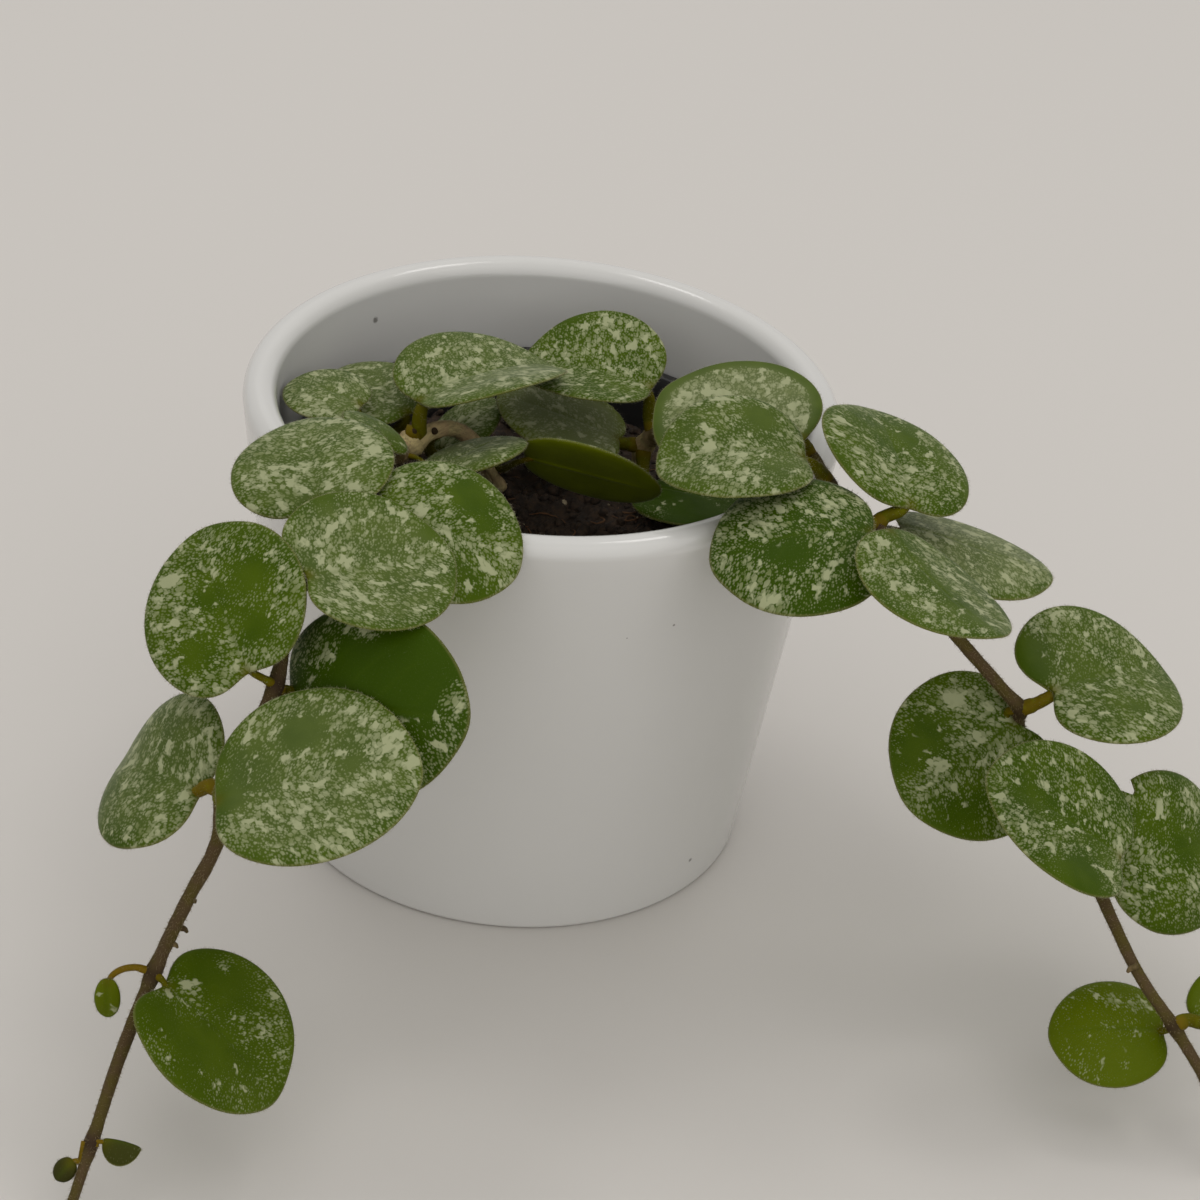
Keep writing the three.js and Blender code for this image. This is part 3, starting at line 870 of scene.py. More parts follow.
@dataclass
class CoverPot:
    """The white pot: a cone with a round lip, a rounded foot and a thick floor."""

    foot_radius: float = 40.3
    foot_rounding: float = 1.2
    lip: float = 5.6
    floor: float = 6.0
    inner_corner: float = 4.0
    taper: float = 0.117
    sides: int = 288
    finish: WhiteGlaze = field(default_factory=WhiteGlaze)

    def build(self) -> None:
        """Makes the pot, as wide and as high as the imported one."""
        low, high = table_box("cover_pot")
        rim = (high[0] - low[0]) / 2
        half = self.lip / 2
        lip_height = high[2] - half
        inner = rim - self.lip - self.taper * (lip_height - self.floor - self.inner_corner)
        corner = (inner - self.inner_corner, self.floor + self.inner_corner)
        rounding = (self.foot_radius - self.foot_rounding, self.foot_rounding)
        profile = np.concatenate(
            [
                [[0.0, 0.0]],
                stretch((0.0, 0.0), (rounding[0], 0.0), 8),
                arc(rounding, self.foot_rounding, -90, -5, 8),
                stretch((self.foot_radius, self.foot_rounding), (rim, lip_height), 30),
                arc((rim - half, lip_height), half, 0, 180, 28),
                stretch((rim - self.lip, lip_height), (inner, corner[1]), 24),
                arc(corner, self.inner_corner, 0, -90, 10),
                stretch((corner[0], self.floor), (0.0, self.floor), 8),
                [[0.0, self.floor]],
            ]
        )
        piece = show("white_cover_pot", turned(profile, self.sides), [self.finish.material()])
        settle(piece, "cover_pot")


@dataclass
class GrowingPot:
    """The black pot inside, with a rolled rim and drain holes in its floor."""

    foot_radius: float = 30.0
    wall: float = 1.2
    corner: float = 0.8
    band: float = 4.0
    edge: float = 0.6
    lip: float = 2.2
    lip_slack: float = 0.3
    lip_drop: float = 1.4
    drains: int = 6
    drain_radius: float = 3.5
    drain_circle: float = 17.0
    drain_sides: int = 32
    drill_below: float = 2.0
    drill_above: float = 3.0
    sides: int = 192
    finish: BlackPlastic = field(default_factory=BlackPlastic)

    def build(self) -> None:
        """Makes the pot: a wall and a floor turned in one, with the drain holes cut out of it."""
        low, high = table_box("growing_pot")
        rim = (high[0] - low[0]) / 2
        foot, top = low[2], high[2]
        wall_top = rim - self.wall
        slope = (wall_top - self.foot_radius) / (top - foot)
        band = top - self.band
        outer = self.foot_radius + slope * (band - foot)
        rounding = (self.foot_radius - self.corner, foot + self.corner)
        inside, floor = self.foot_radius - self.wall, foot + self.wall
        profile = np.concatenate(
            [
                [[0.0, foot]],
                stretch((0.0, foot), (rounding[0], foot), 10),
                arc(rounding, self.corner, -90, 0, 5),
                stretch((self.foot_radius, rounding[1]), (outer, band), 20),
                [[outer, band], [rim - self.edge / 2, band]],
                arc((rim - self.edge, top - self.edge), self.edge, 0, 90, 6),
                arc((rim - self.lip + self.edge, top - self.edge), self.edge, 90, 170, 6),
                [[wall_top - self.wall - self.lip_slack, top - self.lip_drop]],
                [[outer - self.wall, band - self.edge]],
                stretch((outer - self.wall, band - self.edge), (inside, floor + self.corner), 18),
                arc((inside - self.corner, floor + self.corner), self.corner, 0, -90, 5),
                stretch((inside - self.wall, floor), (0.0, floor), 10),
                [[0.0, floor]],
            ]
        )
        piece = show("black_growing_pot", turned(profile, self.sides), [self.finish.material()])
        self._drill(piece, foot - self.drill_below, foot + self.drill_above)
        settle(piece, "growing_pot")

    def _drill(self, piece: bpy.types.Object, low: float, high: float) -> None:
        """Cuts the drain holes out of the floor with rods that reach from low to high.

        Args:
            piece: The pot, whose mesh is changed.
            low: The height of the rods' lower ends.
            high: The height of their upper ends.
        """
        wide = self.drain_radius
        rods = []
        for angle in angles_round(self.drains):
            rod = turned(np.array([[0, low], [wide, low], [wide, high], [0, high]]), self.drain_sides)
            rod.points = rod.points + self.drain_circle * np.array([np.cos(angle), np.sin(angle), 0])
            rods.append(rod)
        drill = show("drain_drill", joined(rods), [])
        cut = piece.modifiers.new("drains", "BOOLEAN")
        cut.operation = "DIFFERENCE"
        cut.solver = "EXACT"
        cut.object = drill
        depsgraph = bpy.context.evaluated_depsgraph_get()
        cut_mesh = bpy.data.meshes.new_from_object(piece.evaluated_get(depsgraph))
        piece.modifiers.clear()
        piece.data = cut_mesh
        bpy.data.objects.remove(drill)


@dataclass
class Soil:
    """Peat that fills the growing pot, with crumbs, fibres and a few pale grains on top."""

    level: float = 58.6
    foot_radius: float = 28.2
    shoulder: float = 3.0
    margin: float = 1.5
    wave_height: float = 0.48
    lumps: tuple[Pair, ...] = ((3.1, 0.7), (1.3, 0.45), (0.6, 0.22))
    dip: float = 1.6
    dip_width: float = 4.0
    rings: int = 120
    around: int = 240
    crumbs: int = 1500
    crumb_sizes: Pair = (0.35, 1.5)
    grains: int = 70
    grain_sizes: Pair = (0.25, 0.6)
    fibres: int = 150
    fibre_lengths: Pair = (2.0, 8.0)
    fibre_radii: Pair = (0.09, 0.22)
    seed: int = 11
    finish: PottingMix = field(default_factory=PottingMix)

    def build(self) -> None:
        """Makes the soil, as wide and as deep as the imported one."""
        low, high = table_box("soil")
        self.radius = (high[0] - low[0]) / 2
        self.random = np.random.default_rng(self.seed)
        parts = [self._body(low[2]), self._crumbs(self.crumbs, self.crumb_sizes, 0.0)]
        parts += [self._crumbs(self.grains, self.grain_sizes, 2.0), self._fibres()]
        piece = show("crumbly_soil", joined(parts), [self.finish.material()])
        settle(piece, "soil")

    def height(self, x: Array, y: Array) -> Array:
        """Gives the top's height: broad waves, lumps of three sizes and a dip by the wall.

        Args:
            x: Places across the pot, in millimetres.
            y: The same, towards the back.

        Returns:
            The heights, in millimetres.
        """
        places = abreast(x, y, 0.0)
        waves = np.sin(x * 0.42 + 1.3) * np.cos(y * 0.37) + 0.6 * np.sin(x * 0.9 - y * 0.7)
        total = self.level + self.wave_height * waves
        for seed, (wide, high) in enumerate(self.lumps, start=3):
            total = total + high * lattice_noise(places / wide, seed)
        return total - self.dip * ease(np.hypot(x, y), self.radius - self.dip_width, self.radius)

    def _body(self, bottom: float) -> Surface:
        """Makes the body, a cone frustum under a lumpy top.

        Args:
            bottom: The height of its underside.

        Returns:
            The closed surface.
        """
        angle = angles_round(self.around)
        part = np.linspace(1.0, 0.004, self.rings)[:, None]
        x, y = self.radius * part * np.cos(angle), self.radius * part * np.sin(angle)
        rise = np.linspace(0, 1, 12)[:-1, None]
        wide = self.foot_radius + (self.radius - self.foot_radius) * rise
        tall = bottom + (self.level - self.shoulder - bottom) * rise
        wall = abreast(wide * np.cos(angle), wide * np.sin(angle), tall)
        rings = np.concatenate([wall, abreast(x, y, self.height(x, y))])
        middle = self.height(np.zeros(1), np.zeros(1))[0]
        return skin(rings, (0, 0, bottom), (0, 0, middle)).with_value("tint", 0.0)

    def _scatter(self, count: int) -> tuple[Array, ...]:
        """Picks places on the top, evenly over its area: the radius goes with a chance's root.

        Args:
            count: How many places.

        Returns:
            How far along X, Y and Z they lie.
        """
        radius = (self.radius - self.margin) * np.sqrt(self.random.random(count))
        angle = TURN * self.random.random(count)
        x, y = radius * np.cos(angle), radius * np.sin(angle)
        return x, y, self.height(x, y)

    def _crumbs(self, count: int, sizes: Pair, tint: float) -> Surface:
        """Strews lumps: small balls of four rings, each pushed in and out at random and squashed.

        Args:
            count: How many lumps.
            sizes: The smallest and the largest radius.
            tint: Their value tint.

        Returns:
            All the lumps as one surface.
        """
        x, y, z = self._scatter(count)
        up = np.linspace(-1, 1, 6)
        one = turned(abreast(np.sqrt(1 - up**2), up), 8)
        rough = 1 + 0.35 * (self.random.random((count, len(one.points), 1)) - 0.5)
        size = sizes[0] + (sizes[1] - sizes[0]) * self.random.random((count, 1, 1)) ** 2.5
        squash = 0.55 + 0.45 * self.random.random((count, 1, 3))
        turn, _ = np.linalg.qr(self.random.normal(size=(count, 3, 3)))
        turn = turn * np.sign(np.linalg.det(turn))[:, None, None]
        lumps = np.einsum("nij,npj->npi", turn, one.points[None] * rough * squash * size)
        points = lumps + abreast(x, y, z + 0.25 * size[:, 0, 0])[:, None]
        step = (len(one.points) * np.arange(count))[:, None, None]
        strewn = Surface(points.reshape(-1, 3), one.quads + step, one.triangles + step)
        return strewn.with_value("tint", tint)

    def _fibres(self) -> Surface:
        """Lays thin bent fibres: arcs that fall by the square of the way from their middle.

        Returns:
            All the fibres as one surface.
        """
        parts = []
        x, y, z = self._scatter(self.fibres)
        heading = TURN * self.random.random(self.fibres)
        low, high = self.fibre_lengths
        length = low + (high - low) * self.random.random(self.fibres) ** 2
        bend = self.random.normal(0, 0.35, self.fibres)
        thin, thick = self.fibre_radii
        t = np.linspace(-0.5, 0.5, 9)
        for k in range(self.fibres):
            turn = heading[k] + bend[k] * t * 4
            reach = min(length[k], 1.6 * max(self.radius - 2 - math.hypot(x[k], y[k]), 0.8))
            path_x = x[k] + reach * t * np.cos(turn)
            path_y = y[k] + reach * t * np.sin(turn)
            rise = 0.25 + 0.5 * (1 - 4 * t * t) * self.random.random()
            path_z = self.height(path_x, path_y) * 0.4 + z[k] * 0.6 + rise
            radii = (thin + (thick - thin) * self.random.random()) * (1 - 1.2 * np.abs(t))
            fibre = tube(abreast(path_x, path_y, path_z), radii, 5)
            parts.append(fibre.with_value("tint", 0.5 + 0.5 * self.random.random()))
        return joined(parts)


class Growth(Enum):
    """What grows out of a stem, with its value wood: age, nearness to a joint, and scar."""

    ROOT = (0.4, 0.1, 0.25)
    BUD = (0.2, 0.2, 0.8)
    STUB = (0.85, 0.0, 0.1)


@dataclass(frozen=True)
class Spur:
    """A bud, a short aerial root or the stub of a cut shoot: a tube along rows of place and radius."""

    growth: Growth
    rows: tuple[Four, ...]

    def surface(self) -> Surface:
        """Makes it: the rows are read at even steps, and each inner point takes a quarter of either
        neighbour and half of its own.

        Returns:
            The closed surface.
        """
        table = np.array(self.rows)
        t = np.linspace(0, len(table) - 1, 4 * len(table))
        smooth = read_between(t, np.arange(len(table)), table)
        smooth[1:-1] = (smooth[:-2] + 2 * smooth[1:-1] + smooth[2:]) / 4
        made = tube(smooth[:, :3], smooth[:, 3], 12)
        return made.with_value("wood", self.growth.value).with_value("wrap", made.points)


@dataclass
class Vine:
    """A stem that climbs out of the soil, swollen at its joints and covered with short hairs.

    Its rows are places with the stem's radius there and the joint's name, if there is one. It is
    woody up to the length woody from its foot, and bare of hairs below the height bare_below.
    """

    name: str
    rows: list[tuple[float, float, float, float, str]]
    spurs: list[Spur] = field(default_factory=list)
    woody: float = 20.0
    woody_fade: float = 6.0
    swell: float = 1.28
    slim: float = 0.92
    joint_length: float = 2.2
    scar_length: float = 1.6
    wrap_radius: float = 1.2
    bare_below: float = 60.0
    hair_gap: float = 0.030
    hair_length: float = 0.42
    hair_radius: float = 0.035
    hair_lean: float = 0.45
    sides: int = 16
    step: float = 0.45
    seed: int = 1

    def joint(self, name: str) -> tuple[Array, Array, float]:
        """Gives a joint's place, the stem's direction there and its radius.

        Args:
            name: The joint's name.

        Returns:
            The three of them.
        """
        k = next(i for i, row in enumerate(self.rows) if row[4] == name)
        points = np.array([row[:3] for row in self.rows])
        return points[k], unit(points[k + 1] - points[k - 1]), self.rows[k][3]

    def path(self) -> tuple[Array, ...]:
        """Gives stations along the stem, their radii and their distance from the foot.

        The curve is a centripetal Catmull-Rom spline through the rows: between two rows it is a
        cubic whose end slopes come from the rows on either side, with the square root of the
        distance between rows as the step of the parameter. The radii are without the swellings.

        Returns:
            The stations, the radii without the swellings, and the distances.
        """
        p = np.array([row[:3] for row in self.rows], dtype=float)
        radius = np.array([row[3] for row in self.rows])
        full = np.concatenate([[2 * p[0] - p[1]], p, [2 * p[-1] - p[-2]]])
        stations, radii = [], []
        for i in range(len(p) - 1):
            p0, p1, p2, p3 = full[i : i + 4]
            d0, d1, d2 = (np.sqrt(np.linalg.norm(b - a)) for a, b in ((p0, p1), (p1, p2), (p2, p3)))
            slope1 = ((p1 - p0) / d0 - (p2 - p0) / (d0 + d1) + (p2 - p1) / d1) * d1
            slope2 = ((p2 - p1) / d1 - (p3 - p1) / (d1 + d2) + (p3 - p2) / d2) * d1
            count = max(2, round(float(np.linalg.norm(p2 - p1)) / self.step))
            t = (np.arange(count) / count)[:, None]
            cubic = (2 * p1 - 2 * p2 + slope1 + slope2) * t**3
            cubic = cubic + (3 * p2 - 3 * p1 - 2 * slope1 - slope2) * t**2 + slope1 * t + p1
            stations.append(cubic)
            radii.append(radius[i] + (radius[i + 1] - radius[i]) * t[:, 0])
        centres = np.concatenate([*stations, p[-1:]])
        gone = np.concatenate([[0.0], np.cumsum(np.linalg.norm(np.diff(centres, axis=0), axis=1))])
        return centres, np.concatenate([*radii, radius[-1:]]), gone

    def build(self, finish: list[bpy.types.Material]) -> None:
        """Makes the stem with its spurs and hairs.

        Its radius swells as a bell of the distance to the nearest joint, and noise makes it uneven.

        Args:
            finish: The skin's material and the hairs' material.
        """
        random = np.random.default_rng(self.seed)
        centres, radii, gone = self.path()
        joints = np.array([row[:3] for row in self.rows if row[4] not in ("", "arch")])
        near = np.linalg.norm(centres[:, None] - joints, axis=2).min(axis=1)
        swollen = self.slim * radii * (1 + (self.swell - 1) * bell(near / self.joint_length))
        angle = angles_round(self.sides)
        wrap = abreast(np.cos(angle) * self.wrap_radius, gone[:, None], np.sin(angle) * self.wrap_radius)
        lumps = 0.07 * lattice_noise(wrap * np.array([1.1, 0.45, 1.1]), self.seed)
        lumps = lumps + 0.035 * lattice_noise(wrap * np.array([2.4, 1.6, 2.4]), self.seed + 7)
        stem = tube(centres, swollen[:, None] * (1 + lumps), self.sides)
        age = 1 - ease(gone, self.woody - self.woody_fade, self.woody + self.woody_fade)
        wood = abreast(age, bell(near / self.scar_length), 0.0)
        wood = np.repeat(wood[:, None], self.sides, axis=1)
        stem.with_value("wood", self._with_poles(wood)).with_value("wrap", self._with_poles(wrap))
        parts = [stem, *(spur.surface() for spur in self.spurs)]
        parts.append(self._down(centres, swollen, gone, random))
        piece = show(f"{self.name}_stem", joined(parts), finish)
        settle(piece, self.name)

    @staticmethod
    def _with_poles(rings: Array) -> Array:
        """Lays out rings of values as a skin's points, with the first and last ring's mean as poles."""
        first, last = rings[:1].mean(axis=1), rings[-1:].mean(axis=1)
        return np.concatenate([first, rings.reshape(-1, 3), last])

    def _down(self, centres: Array, radii: Array, gone: Array, random: np.random.Generator) -> Surface:
        """Sets the hairs at random along and round the stem, leaning a little towards its tip.

        Args:
            centres: The stations of the stem.
            radii: Its radius at each of them.
            gone: How far each of them is from the foot.
            random: The stem's own random numbers.

        Returns:
            All the hairs as one surface.
        """
        start = gone[np.argmax(centres[:, 2] > self.bare_below)]
        count = int((gone[-1] - start) / self.hair_gap)
        at = start + (gone[-1] - start) * random.random(count)
        along, across, other = (read_between(at, gone, rows) for rows in frames_along(centres))
        outward = swung(unit(across), unit(other), TURN * random.random(count))
        radius = np.interp(at, gone, radii)[:, None]
        roots = read_between(at, gone, centres) + outward * radius * 0.97
        lean = outward + self.hair_lean * along + random.normal(0, 0.3, (count, 3))
        lengths = self.hair_length * (0.5 + random.random(count))
        return hairs(roots, lean, lengths, self.hair_radius, 1)


@dataclass
class Leaf:
    """A round, thick leaf on a bent stalk.

    The blade lies in the leaf's own axes: along the midrib, to the left and up. Its outline is a
    circle in polar form, drawn in by a notch at the base and out by a small tip, stretched to the
    length and width.

    Attributes:
        joint: The joint of the stem that it grows from.
        base: Where the midrib starts, in millimetres.
        heading: Which way the tip points on the table, in degrees from +X. Slope lifts the tip
            and roll lifts the left side.
        notch: How far the base is drawn in, as a share of the radius.
        fold: How far both halves are folded up, in degrees.
        cup: How far the rim is bent down, in millimetres. Curl bends the tip alone.
        silver: The density of the silver.
        youth_and_painted_shade: 0 for full-grown green, 1 for bright green, 2 for bronze and -1 for dark
            green; below
        0 it is painted shade, for leaves that hang in shade or face away.
        spots: Places with more or less silver: where along and across, how wide, and how much more.
        nick: Where on the rim a piece is missing, in radians from the tip, and how deep.
        rust: How reddish the stalk is.
        dust: How much painted sheen there is, a pale haze that stands in for the glossy
        reflection of the bright room.
        plain_rim: Where the silver begins to thin out towards the rim, and by how much.
        foot: Where the stalk leaves the stem, if not straight towards the base.
    """

    name: str
    joint: str
    base: Row
    heading: float
    slope: float
    roll: float
    length: float
    width: float
    notch: float
    fold: float
    cup: float
    curl: float
    silver: float = 0.45
    youth_and_painted_shade: float = 0.0
    spots: tuple[Four, ...] = ()
    nick: Pair | None = None
    thickness: float = 1.8
    stalk_radius: float = 1.12
    rust: float = 0.0
    dust: float = 0.0
    plain_rim: Pair = (0.86, 0.22)
    foot: Row | None = None
    sectors: int = 112
    rings: int = 26
    edge_rings: int = 9
    edge_start: float = 0.84
    tip: float = 0.03
    tip_width: float = 0.3
    notch_width: float = 0.38
    nick_width: float = 0.075
    midrib_width: float = 0.42
    vein_gap: float = 0.17
    vein_width: float = 0.06
    furrow: float = 0.14
    vein_furrow: float = 0.03
    keel: float = 0.22
    vein_keel: float = 0.04
    stalk_sides: int = 14
    hair_gap: float = 0.16
    stalk_hair_gap: float = 0.05
    hair_length: float = 0.42
    hair_radius: float = 0.026

    @property
    def seed(self) -> int:
        """Gives a number of the leaf's own, from its name."""
        return sum(ord(letter) * 31**k for k, letter in enumerate(self.name)) % 9973

    @property
    def size(self) -> float:
        """Gives how thick the blade and stalk are, with 1 for a full-grown leaf."""
        return min(max(self.length / 16.0, 0.6), 1.0)

    @property
    def centre(self) -> float:
        """Gives how far along the midrib the outline's centre lies."""
        return self.length / 2 * (1 - self.notch)

    def axes(self) -> tuple[Array, ...]:
        """Gives the directions along the midrib, to the left and up.

        The heading turns +X about +Z and the slope lifts it. The roll turns the other two about it.

        Returns:
            The three directions.
        """
        a, b, c = (math.radians(turn) for turn in (self.heading, self.slope, self.roll))
        along = np.array([math.cos(a) * math.cos(b), math.sin(a) * math.cos(b), math.sin(b)])
        level = np.array([-math.sin(a), math.cos(a), 0.0])
        rise = np.cross(along, level)
        left = level * math.cos(c) + rise * math.sin(c)
        return along, left, np.cross(along, left)

    def _put(self, u: Array, v: Array, height: Array) -> Array:
        """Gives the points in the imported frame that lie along, to the left of and over the base."""
        along, left, up = self.axes()
        return np.array(self.base) + u[:, None] * along + v[:, None] * left + height[:, None] * up

    def middle(self, u: Array, v: Array) -> Array:
        """Gives the height of the blade's middle over its plane.

        The fold lifts both halves by the tangent of its angle, softly at the midrib. The cup takes
        the rim down by the square of the distance from the centre, and the curl takes the tip down
        by the square of the distance from the base.

        Args:
            u: How far along the midrib from the base, in millimetres.
            v: How far to its left.

        Returns:
            The heights, in millimetres.
        """
        half, soft = self.length / 2, 0.08 * self.width
        out = ((u + half * self.notch - half) / half) ** 2 + (v / (self.width / 2)) ** 2
        lift = math.tan(math.radians(self.fold)) * (np.hypot(v, soft) - soft)
        return lift - self.cup * out - self.curl * (u / self.length) ** 2

    def _outline(self, angle: Array) -> Array:
        """Gives the outline's radius, with 1 for a circle. Angle 0 is the tip.

        The tip is a bell of the angle added to it, the notch one taken off it, and slow noise makes
        it uneven. A nick is taken off as a bell of the square, which has steeper sides.

        Args:
            angle: Angles round the centre, in radians.

        Returns:
            The radii.
        """
        back = np.abs(angle) - math.pi
        radius = 1 + self.tip * bell(angle / self.tip_width) - self.notch * bell(back / self.notch_width)
        ring = abreast(2.2 * np.cos(angle), 2.2 * np.sin(angle), 0.0)
        radius = radius + 0.010 * lattice_noise(ring, self.seed)
        if self.nick:
            place, depth = self.nick
            radius = radius - depth * bell(((angle - place) / self.nick_width) ** 2)
        return radius

    def _blade(self) -> Surface:
        """Makes the blade.

        Rings go out under the leaf and come back over it. The thickness is full in the middle and
        falls as a rounded edge: the root of 1 less the tenth power of the distance out. The top
        has a furrow along the midrib, fainter ones along the veins and slow unevenness, and the
        underside has a keel along each.

        Returns:
            The closed blade.
        """
        t = angles_round(self.sectors) - math.pi
        inner = np.linspace(0.03, self.edge_start, self.rings - self.edge_rings)
        quarter = math.pi / 2 * np.arange(1, self.edge_rings + 1) / self.edge_rings
        under = np.concatenate([inner, self.edge_start + (1 - self.edge_start) * np.sin(quarter)])
        over = under[-2::-1]
        s = np.concatenate([under, over])[:, None]
        side = np.concatenate([-np.ones(len(under)), np.ones(len(over))])[:, None]
        side = np.where(s > 0.9999, 0.0, side)
        rings = (len(s), self.sectors)

        def laid(values: Array, first: float, last: float) -> Array:
            """Lays rings of values out as a skin's points, between its two poles."""
            return np.concatenate([[first], np.broadcast_to(values, rings).ravel(), [last]])

        u, v = self._place(s, t - 0.15 * np.sin(2 * t))
        u, v = laid(u, self.centre, self.centre), laid(v, 0.0, 0.0)
        s, side = laid(s, 0.0, 0.0), laid(side, -1.0, 1.0)
        thick = self.thickness * self.size * (1 - 0.35 * s * s) * np.sqrt(np.clip(1 - s**10, 0, 1))
        fade = 1 - s**6
        midrib, veins = self._veins(u, v)
        place = abreast(u, v, self.seed)
        uneven = 0.16 * lattice_noise(place / 4.2, self.seed)
        uneven = uneven + 0.07 * lattice_noise(place / 1.9, self.seed + 1)
        above = uneven - self.furrow * midrib - self.vein_furrow * veins
        relief = np.where(side > 0, above, -self.keel * midrib - self.vein_keel * veins)
        points = self._put(u, v, self.middle(u, v) + side * thick / 2 + relief * fade)
        blade = skin(points[1:-1].reshape(*rings, 3), points[0], points[-1])
        blade.with_value("side", (side + 1) / 2)
        blade.with_value("vein", np.maximum(midrib, 0.35 * veins) * fade)
        blade.with_value("grain", self._grain(u, v))
        blade.with_value("dust", self.dust)
        blade.with_value("habit", abreast(self._density(u, v, s), self.youth_and_painted_shade, s))
        return blade.with_value("reach", bell(u / 1.4) * bell(v / 1.1))

    def _place(self, s: Array, angle: Array) -> tuple[Array, Array]:
        """Gives where a share s of the way out lies, along and across the midrib.

        What the outline adds to a circle fades with the square of the share.

        Args:
            s: Shares of the way from the centre to the rim.
            angle: Angles round the centre.

        Returns:
            How far along the midrib and how far to its left, in millimetres.
        """
        radius = s * (1 + (self._outline(angle) - 1) * s * s)
        u = self.centre + self.length / 2 * radius * np.cos(angle)
        return u, self.width / 2 * radius * np.sin(angle)

    def _veins(self, u: Array, v: Array) -> tuple[Array, Array]:
        """Gives how near a point is to the midrib and to a side vein, 0 to 1.

        Each vein leaves the midrib at a slant and bends towards the tip. Those on the left start a
        little before those on the right.

        Args:
            u: How far along the midrib from the base, in millimetres.
            v: How far to its left.

        Returns:
            The nearness to the midrib, and the nearness to a vein.
        """
        wide = np.abs(v)
        reach = np.clip(1 - u / self.length, 0, 1) ** 0.6 * ease(u, -0.5, 1.0)
        midrib = bell(v / self.midrib_width) * reach
        start = u - 0.62 * wide - 0.018 * wide**2 + 0.6 * np.sign(v)
        phase = start / (self.vein_gap * self.length)
        veins = bell((phase - np.round(phase)) / self.vein_width) * ease(wide, 0.0, 2.0)
        return midrib, veins

    def _grain(self, u: Array, v: Array) -> Array:
        """Gives the silver's own coordinates: across the veins, along them, and the leaf's number."""
        shift = 13.7 * (self.seed % 89)
        return abreast(u - 0.3 * np.abs(v) + shift, 0.8 * v, 7.31 * self.seed)

    def _density(self, u: Array, v: Array, s: Array) -> Array:
        """Gives the density of the silver: the leaf's own, more or less in its spots, less by the rim.

        A spot's place and width are shares of the leaf's length.

        Args:
            u: How far along the midrib from the base, in millimetres.
            v: How far to its left.
            s: The share of the way from the centre to the rim.

        Returns:
            The density.
        """
        place = abreast(u, v, self.seed)
        total = self.silver + 0.4 * lattice_noise(place / 6.5, self.seed + 2)
        for at_u, at_v, wide, extra in self.spots:
            off = np.hypot(u / self.length - at_u, v / self.length - at_v)
            total = total + extra * bell(off / wide)
        start, loss = self.plain_rim
        return total - loss * ease(s, start, 0.98)

    def _stalk_path(self, vine: Vine) -> Array:
        """Gives the stalk's stations: a cubic Bezier curve from inside the stem to under the blade.

        Args:
            vine: The stem that the leaf grows from.

        Returns:
            The stations, from the stem outwards.
        """
        node, direction, radius = vine.joint(self.joint)
        along, _, up = self.axes()
        base = np.array(self.base)
        out = base - node
        out = unit(out - direction * np.dot(out, direction))
        start = np.array(self.foot) if self.foot else node + out * (radius * vine.swell + 0.6)
        sink = min(2.0, 0.15 * self.length)
        end = base + along * sink + up * (self.middle(sink, 0.0) - 0.35 * self.size)
        reach = np.linalg.norm(end - start)
        bends = (start, start + out * reach * 0.3, end - along * reach * 0.36 - up * reach * 0.16, end)
        t = np.linspace(0, 1, 27)[:, None]
        curve = (1 - t) ** 3 * bends[0] + 3 * (1 - t) ** 2 * t * bends[1]
        curve = curve + 3 * (1 - t) * t * t * bends[2] + t**3 * bends[3]
        return np.concatenate([[node + out * radius * 0.4, node + out * radius], curve])

    def _stalk(self, vine: Vine) -> Surface:
        """Makes the stalk, thicker at the stem and slimmer towards the blade.

        A bell of the way along it widens the foot, and the cube of the way slims the other end.

        Args:
            vine: The stem that the leaf grows from.

        Returns:
            The closed stalk.
        """
        centres = self._stalk_path(vine)
        reach = np.linspace(0, 1, len(centres))
        radii = self.stalk_radius * self.size * (1 + 0.22 * bell(reach / 0.1) - 0.33 * reach**3)
        angle = angles_round(self.stalk_sides)
        wrap = abreast(np.cos(angle), np.sin(angle), 9 * reach[:, None])
        uneven = 1 + 0.05 * lattice_noise(wrap, self.seed)
        stalk = tube(centres, radii[:, None] * uneven, self.stalk_sides, 1)
        values = np.concatenate([[0.0], np.repeat(reach, self.stalk_sides), [1.0]])
        return stalk.with_value("reach", values).with_value("habit", (self.rust, 0.0, 0.0))

    def _down(self, vine: Vine) -> Surface:
        """Sets short hairs round the margin and along the stalk, leaning at random from straight out.

        Args:
            vine: The stem that the leaf grows from.

        Returns:
            All the hairs as one surface.
        """
        random = np.random.default_rng(self.seed)
        count = int(math.pi * self.length / self.hair_gap)
        u, v = self._place(np.full(count, 0.995), TURN * random.random(count) - math.pi)
        along, left, up = self.axes()
        rim = self._put(u, v, self.middle(u, v) + random.normal(0, 0.16, count))
        outward = unit((u - self.centre)[:, None] * along + v[:, None] * left)
        rim_lean = outward + random.normal(0, 0.35, (count, 3)) + 0.2 * up
        centres = self._stalk_path(vine)[2:-2]
        furred = int(np.linalg.norm(np.diff(centres, axis=0), axis=1).sum() / self.stalk_hair_gap)
        at = random.random(furred) * (len(centres) - 1)
        rows = (centres, *frames_along(centres)[1:])
        middle, across, other = (read_between(at, np.arange(len(centres)), row) for row in rows)
        square = unit(swung(across, other, TURN * random.random(furred)))
        roots = np.concatenate([rim, middle + square * self.stalk_radius * self.size * 0.9])
        leans = np.concatenate([rim_lean, square + random.normal(0, 0.35, (furred, 3))])
        lengths = self.hair_length * (0.4 + 0.9 * random.random(len(roots)))
        return hairs(roots, leans, lengths, self.hair_radius, 2)

